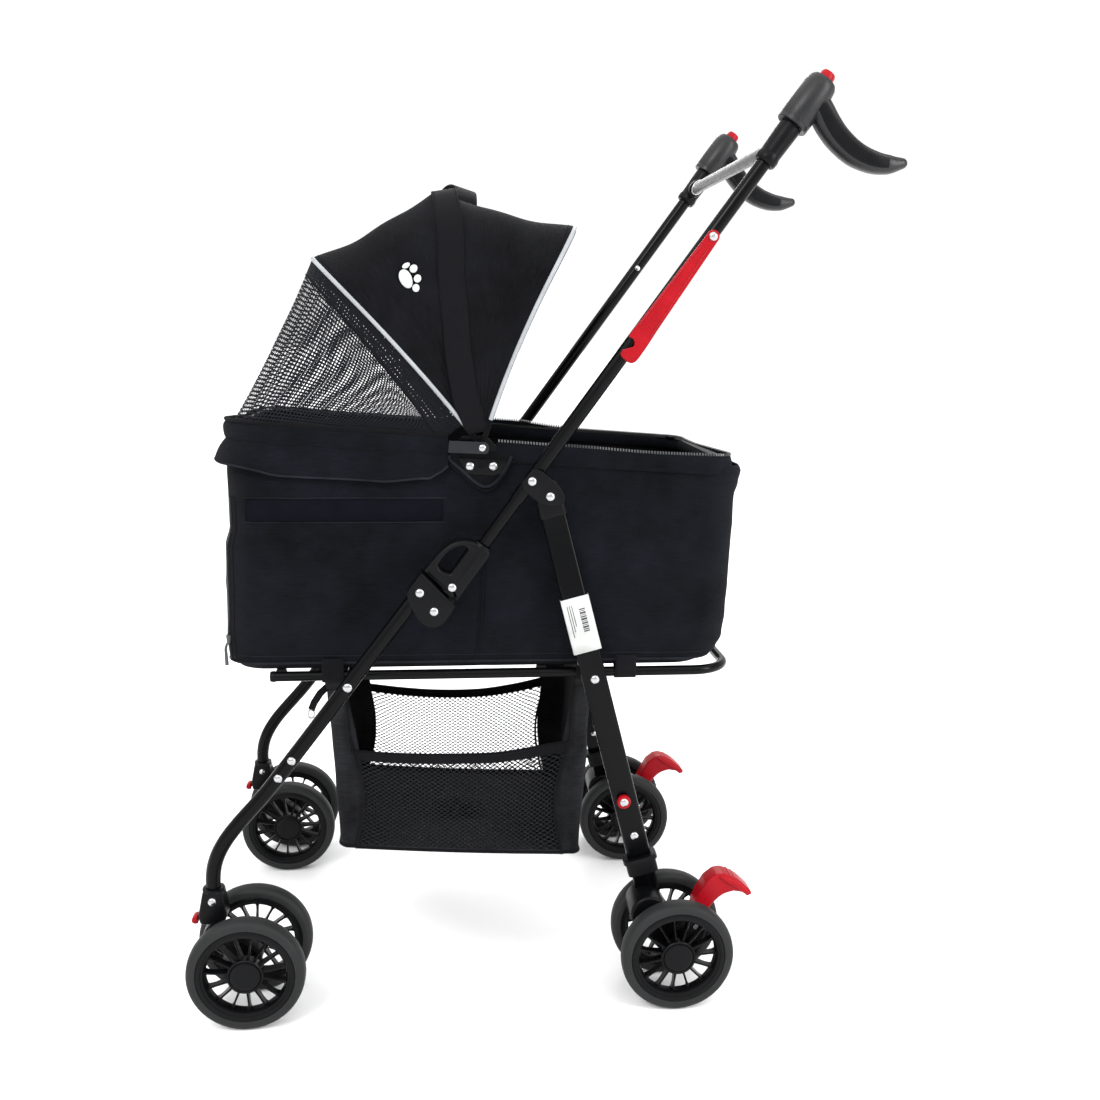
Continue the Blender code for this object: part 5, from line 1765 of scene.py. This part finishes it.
def basket():
    """Hanging basket: net sides under bound edges, cloth ends that rise to the rails, cloth floor."""
    x0, x1, half, radius = 0.082, 0.378, 0.1275, 0.014
    columns = 400

    def wall(share, level, lift=0.0):
        x, y, ox, oy = plan_point(share, x0, x1, half, radius)
        along_x = (x - x0) / (x1 - x0)
        end = smooth(min(abs(x - x0), abs(x1 - x)), 0.0255, 0.0195)
        sag = 0.010 * math.sin(math.pi * along_x) * (1.0 if y < 0 else 1.6)
        low = 0.1560 - 0.0180 * along_x - 0.002 * math.sin(math.pi * along_x)
        side_top = 0.2740 - sag + 0.006 * smooth(x, 0.26, 0.37)
        top = side_top + (0.3555 - side_top) * end
        z = low + (top - low) * level
        waist = math.sin(math.pi * min(1.0, level)) * end
        soft = 0.0030 * ripple(x * 11, y * 11, z * 12, 12.0) + 0.0016 * ripple(x * 27, y * 27, z * 25, 13.0)
        out = 0.0015 * math.sin(
            math.pi * min(1.0, level)
        ) * abs(ox) + soft * min(1.0, 4 * level) * 0.8 - 0.004 * (1 - level) - 0.0020 * waist + lift
        narrow = (0.5 * (x0 + x1) - x) * 0.045 * (1 - level) ** 1.5
        squeeze = 0.0135 * math.sin(math.pi * min(1.0, level)) * abs(oy)
        narrow += squeeze * (
            math.exp(-(((x - 0.108) / 0.022) ** 2)) - math.exp(-(((x - 0.352) / 0.022) ** 2))
        )
        return W((x + ox * out + narrow, z), y + oy * out)

    levels = [i / 26 for i in range(27)]
    rows = [[wall(c / columns, level) for c in range(columns)] for level in levels]
    centre = sum(rows[0], Vector()) / columns
    floor = [
        [centre.lerp(p, t) - Vector((0, 0, 0.003 * (1 - t * t))) for p in rows[0]]
        for t in (0.12, 0.4, 0.7, 0.9)
    ]

    def is_net(r, c):
        if r < 5:
            return 0
        x, y, ox, oy = plan_point((c + 0.5) / columns, x0, x1, half, radius)
        return 1 if 0.106 < x < 0.354 and abs(oy) > 0.9 else 0

    spots = metric(floor + rows, closed=True)
    around_row = [u for u, _ in spots[len(floor) + 10]]
    spots = [[(u, line[0][1]) for u in around_row] for line in spots]
    made = grid(
        "basket_shell", floor + rows, [BASKET_CLOTH, BASKET_NET], 0.0, closed=True, uv=spots, mask=is_net
    )
    shape = bmesh.new()
    shape.from_mesh(made.data)
    shape.verts.ensure_lookup_table()
    shape.faces.new([shape.verts[i] for i in range(columns)])
    shape.to_mesh(made.data)
    shape.free()
    made.data.shade_smooth()
    place(made, "carrier", "basket", "storage_basket")
    edges = [
        tube(
            "top_binding", [wall(c / columns, 1.0, 0.0) for c in range(columns)], 0.0022, TAPE, closed=True,
            detail=3
        )
    ]
    edges.append(
        tube(
            "low_binding", [wall(c / columns, 0.01, 0.0) for c in range(columns)], 0.0018, TAPE,
            closed=True, detail=3
        )
    )
    for side in (-1, 1):
        for x in (0.1055, 0.3525):
            share = around(x, side, x0, x1, half, radius)
            edges.append(
                tube("panel_seam", [wall(share, i / 20, 0.0006) for i in range(21)], 0.0014, TAPE, detail=3)
            )
        rows = []
        for level in (0.915, 0.95, 1.0):
            rows.append(
                [
                    wall(around(x, side, x0, x1, half, radius), level, 0.0012)
                    for x in [0.106 + 0.246 * i / 50 for i in range(51)]
                ]
            )
        edges.append(grid("top_band", rows, TAPE, 0.0010))
    bound = join("basket_bindings", edges)
    place(bound, "carrier", "basket")
    for label, side in SIDES.items():
        for k, x in enumerate((0.0925, 0.3665)):
            path = [
                (0.1288, 0.3440), (0.1315, 0.3510), (0.1350, 0.3570), (0.1384, 0.3640), (0.1405, 0.3705),
                (0.1450, 0.3722), (0.1495, 0.3705), (0.1512, 0.3655), (0.1490, 0.3590), (0.1400, 0.3530),
                (0.1322, 0.3470)
            ]
            points = [Vector(p) for p in spline([W((x, z), side * y) for y, z in path], 3)]
            strap = tape(f"basket_hanger_{label}_{k}", points, (1, 0, 0), 0.020, 0.0012, TAPE)
            place(strap, "carrier", "fabric")
        ring = [
            W((0.0645 + 0.0034 * math.cos(a), 0.3160 + 0.0048 * math.sin(a)), side * 0.1265)
            for a in [2 * math.pi * i / 24 for i in range(24)]
        ]
        hoop = tube("ring", ring, 0.0010, RIVET, closed=True, detail=3)
        tab = tape(
            "tab",
            [
                W((0.0835, 0.3480), side * 0.1268), W((0.0750, 0.3400), side * 0.1270),
                W((0.0680, 0.3290), side * 0.1266), W((0.0645, 0.3200), side * 0.1262)
            ],
            (0.8, 0, -0.6), 0.008, 0.0011, TAPE
        )
        place(join(f"basket_ring_{label}", [hoop, tab]), "carrier", "frame")


# Canopy


WEBBING_SHIFT = (
    (0.628, 0.0), (0.640, -0.003), (0.664, -0.0085), (0.706, -0.0080), (0.766, -0.0030), (0.851, 0.0070),
    (0.885, 0.0080)
)
BOWS = {
    "front": (132.5, 0.2560, 0.1560, 0.0050), "middle": (100.0, 0.2620, 0.1560, 0.0),
    "rear": (66.5, 0.2460, 0.1615, -0.0080)
}


def bow_line(which, extra=0.0, start=0.030, shift=0.0, lateral=0.0):
    """Dense points of a bow's line: up the left side, across and down the right."""
    angle, length, half, bulge = BOWS[which]
    corner, flat, reach = 0.055 + extra, half + extra + lateral, length + extra
    plane = [(-flat, start + (reach - corner - start) * i / 14) for i in range(14)]
    plane += arc((-flat + corner, reach - corner), corner, 180, 90, 12)
    plane += [(-flat + corner + (2 * flat - 2 * corner) * i / 18, reach) for i in range(1, 18)]
    plane += arc((flat - corner, reach - corner), corner, 90, 0, 12)
    plane += [(flat, reach - corner - (reach - corner - start) * i / 14) for i in range(1, 15)]
    slope = math.radians(angle + shift)
    out = []
    for y, distance in plane:
        bend = bulge * math.sin(math.pi * min(1.0, distance / reach)) ** 0.8
        p = along(CANOPY_PIVOT, slope, distance, -bend)
        out.append(W(p, y))
    return out


def canopy_half(name, first, second):
    """Cloth from the middle bow to an end bow, dished between them and creased towards the pivots."""
    one, two = bow_line(first, 0.0040), bow_line(second, 0.0036)
    steps = 26
    rows = []
    count = len(one)
    centre = W(CANOPY_PIVOT)
    for i in range(steps + 1):
        t = i / steps
        row = []
        for c, (a, b) in enumerate(zip(one, two)):
            p = a.lerp(b, t)
            u = c / (count - 1)
            side_share = abs(2 * u - 1)
            hollow = math.sin(math.pi * t)
            inward = (Vector((centre.x, 0, centre.z + 0.06)) - p).normalized()
            p = p + inward * hollow * (0.0030 + 0.0034 * (1 - smooth(side_share, 0.50, 0.72)))
            crease = math.sin(
                t * 21.0 + 2.0 * ripple(u * 9, t * 3, 0.0, 14.0)
            ) * hollow * smooth(side_share, 0.55, 1.0) * 0.0022
            soft = 0.0030 * ripple(p.x * 12, p.y * 9, p.z * 13, 15.0) * hollow
            drag = 0.0016 * math.sin(18.0 * (u + 0.35 * t) + 4.0 * t) * hollow * (
                1 - smooth(side_share, 0.6, 1.0)
            )
            p = p + inward * (soft + drag)
            p.y += math.copysign(crease, p.y)
            row.append(p)
        rows.append(row)
    made = grid(name, rows, [CLOTH, LINING], 0.0012, offset=1.0)
    flip = made.data.polygons[len(made.data.polygons) // 2]
    if flip.normal.z < 0:
        made.data.flip_normals()
    made.modifiers["thickness"].offset = -1.0
    made.modifiers["thickness"].material_offset = 1
    shades = [i / steps for i in range(steps + 1) for _ in range(count)]
    return made, shades, one, two


def canopy():
    for label, second, node in (
        ("front", "front", "canopy_front_panel"), ("rear", "rear", "canopy_rear_panel")
    ):
        body = f"canopy_{label}"
        made, shares, one, two = canopy_half(f"canopy_{label}_cloth", "middle", second)
        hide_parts(node)
        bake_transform(made)
        piping = tube(f"piping_{label}", two, 0.0023, PIPING, detail=4)
        place(piping, body, "crossbar")
        hem_line = [p.lerp(q, 0.955) for p, q in zip(one, two)]
        place(tube(f"canopy_hem_{label}", hem_line, 0.0009, CLOTH, detail=2), body, "fabric")
    for which, body, node, extra in (
        ("front", "canopy_front", "canopy_bow_front", 0.0),
        ("middle", "carrier", "canopy_bow_middle", -0.0075), ("rear", "canopy_rear", "canopy_bow_rear", 0.0)
    ):
        line = bow_line(which, 0.0, 0.004 if which != "middle" else 0.016, lateral=extra)
        wire = tube(f"bow_{which}", line, 0.0030, LINING, detail=3)
        place(wire, body, "bow", node)
    ahead = math.radians(100.0 - 90.0)
    top, wides = [], []
    for p in bow_line("middle", 0.0058, 0.016):
        top.append(p + Vector((between(WEBBING_SHIFT, p.z), 0, 0)))
        wides.append((math.cos(ahead), 0, math.sin(ahead)))
    band = tape("canopy_webbing", top, wides, 0.0265, 0.0016, HEAVY_TAPE)
    place(band, "carrier", "fabric")
    stitches = []
    for across in (-0.0114, 0.0114):
        shift = Vector(wides[0]) * across
        stitches.append(
            tube(
                "stitch", [p + shift + (p - W(CANOPY_PIVOT, p.y)).normalized() * 0.0008 for p in top],
                0.00035, CLOTH, detail=1
            )
        )
    place(join("webbing_stitches", stitches), "carrier", "fabric")
    loop, turns = [], []
    for i in range(29):
        t = i / 28
        y = -0.064 + 0.110 * t
        rise = 0.0240 * math.sin(math.pi * t) ** 0.55
        x = 0.2380 - 0.0200 * smooth(t, 0.15, 1.0)
        loop.append(W((x, 0.8680 + rise), y))
        turns.append((1.0, 0, -0.22 - 0.25 * t))
    carry = tape("carry_loop", loop, turns, 0.0235, 0.0018, HEAVY_TAPE)
    place(carry, "carrier", "fabric")
    paw_print()
    net()


def paw_print():
    """Plain paw motif printed on the left of the front panel."""
    one, two = bow_line("middle", 0.0040), bow_line("front", 0.0036)
    shapes = [((0.0, 0.0), 0.0110, 0.0086)]
    shapes += [
        ((0.0160 * math.sin(a), 0.0166 * math.cos(a)), 0.0043, 0.0056) for a in (-1.08, -0.37, 0.37, 1.08)
    ]
    pads, shares = [], []
    for (cu, cv), wide, high in shapes:
        rows = []
        for k in range(5):
            row = []
            for i in range(25):
                a = 2 * math.pi * i / 24
                u, v = cu + wide * (k / 4) * math.cos(a), cv + high * (k / 4) * math.sin(a)
                shares.append(0.47 - v / 0.145)
                row.append(canopy_point(one, two, shares[-1], 13.2 + u / 0.0133))
            rows.append(row)
        pads.append(grid("pad", rows, PRINT, 0.0003, offset=0.0))
    motif = join("paw_print", pads)
    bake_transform(motif)


def canopy_point(one, two, share, index):
    """Point just outside the cloth between two bows, part of the way along them."""
    k = int(index)
    a = one[k].lerp(one[k + 1], index - k)
    b = two[k].lerp(two[k + 1], index - k)
    p = a.lerp(b, share)
    return p + Vector((0, -0.0006, 0))


def net():
    """Knitted net from the front bow down to the carrier's rim, doubled next to the bow."""
    upper = bow_line("front", 0.0030, shift=0.5)
    front, corner, flat = -0.0085, 0.032, 0.1530
    spots = []
    length = 0.2150 - front - corner
    width = 2 * flat - 2 * corner
    bend = math.pi * corner / 2
    total = 2 * length + 2 * bend + width
    lengths = [0.0]
    for a, b in zip(upper, upper[1:]):
        lengths.append(lengths[-1] + (b - a).length)
    for value in lengths:
        s = value / lengths[-1] * total
        if s < length:
            spots.append((0.2150 - s, -flat))
        elif s < length + bend:
            a = (s - length) / corner
            spots.append((front + corner - corner * math.sin(a), -flat + corner - corner * math.cos(a)))
        elif s < length + bend + width:
            spots.append((front, -flat + corner + s - length - bend))
        elif s < length + 2 * bend + width:
            a = (s - length - bend - width) / corner
            spots.append((front + corner - corner * math.cos(a), flat - corner + corner * math.sin(a)))
        else:
            spots.append((front + corner + s - length - 2 * bend - width, flat))
    lower = [W((x, rim_z(x) + 0.0080 - 0.0060 * smooth(y, -0.13, 0.02)), y) for x, y in spots]
    shares = [0.0, 0.5, 1.0]
    steps = 30
    rows = [[] for _ in range(3 + steps)]
    for a, b in zip(upper, lower):
        reach = (b - a).length
        height = (a.z - 0.64) / 0.16
        strip = min(0.85, (0.031 - 0.016 * max(0.0, min(1.0, height))) / max(reach, 0.001))
        for k in range(3 + steps):
            t = strip * shares[k] if k < 3 else strip + (1 - strip) * (k - 2) / steps
            p = a.lerp(b, t)
            inward = (W((0.15, 0.66)) - p).normalized()
            hollow = math.sin(math.pi * t)
            p = p + inward * hollow * (0.0040 + 0.0030 * ripple(p.x * 10, p.y * 10, p.z * 10, 16.0))
            rows[k].append(p)
    made = grid("canopy_net", rows, [NET, NET_DOUBLE], 0.0, mask=lambda r, c: 1 if r < 2 else 0)
    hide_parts("canopy_mesh")
    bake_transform(made)
    seam = tube("net_seam", rows[2], 0.0008, TAPE, detail=2)
    place(seam, "canopy_front", "mesh")
    hem = tube("net_hem", rows[-1], 0.0014, TAPE, detail=2)
    place(hem, "carrier", "mesh")


rim_wire = frame["nodes"]["rim_frame"]
rim_wire.data.materials.clear()
rim_wire.data.materials.append(FRAME)
carrier()
rail_loops()
basket()
canopy()
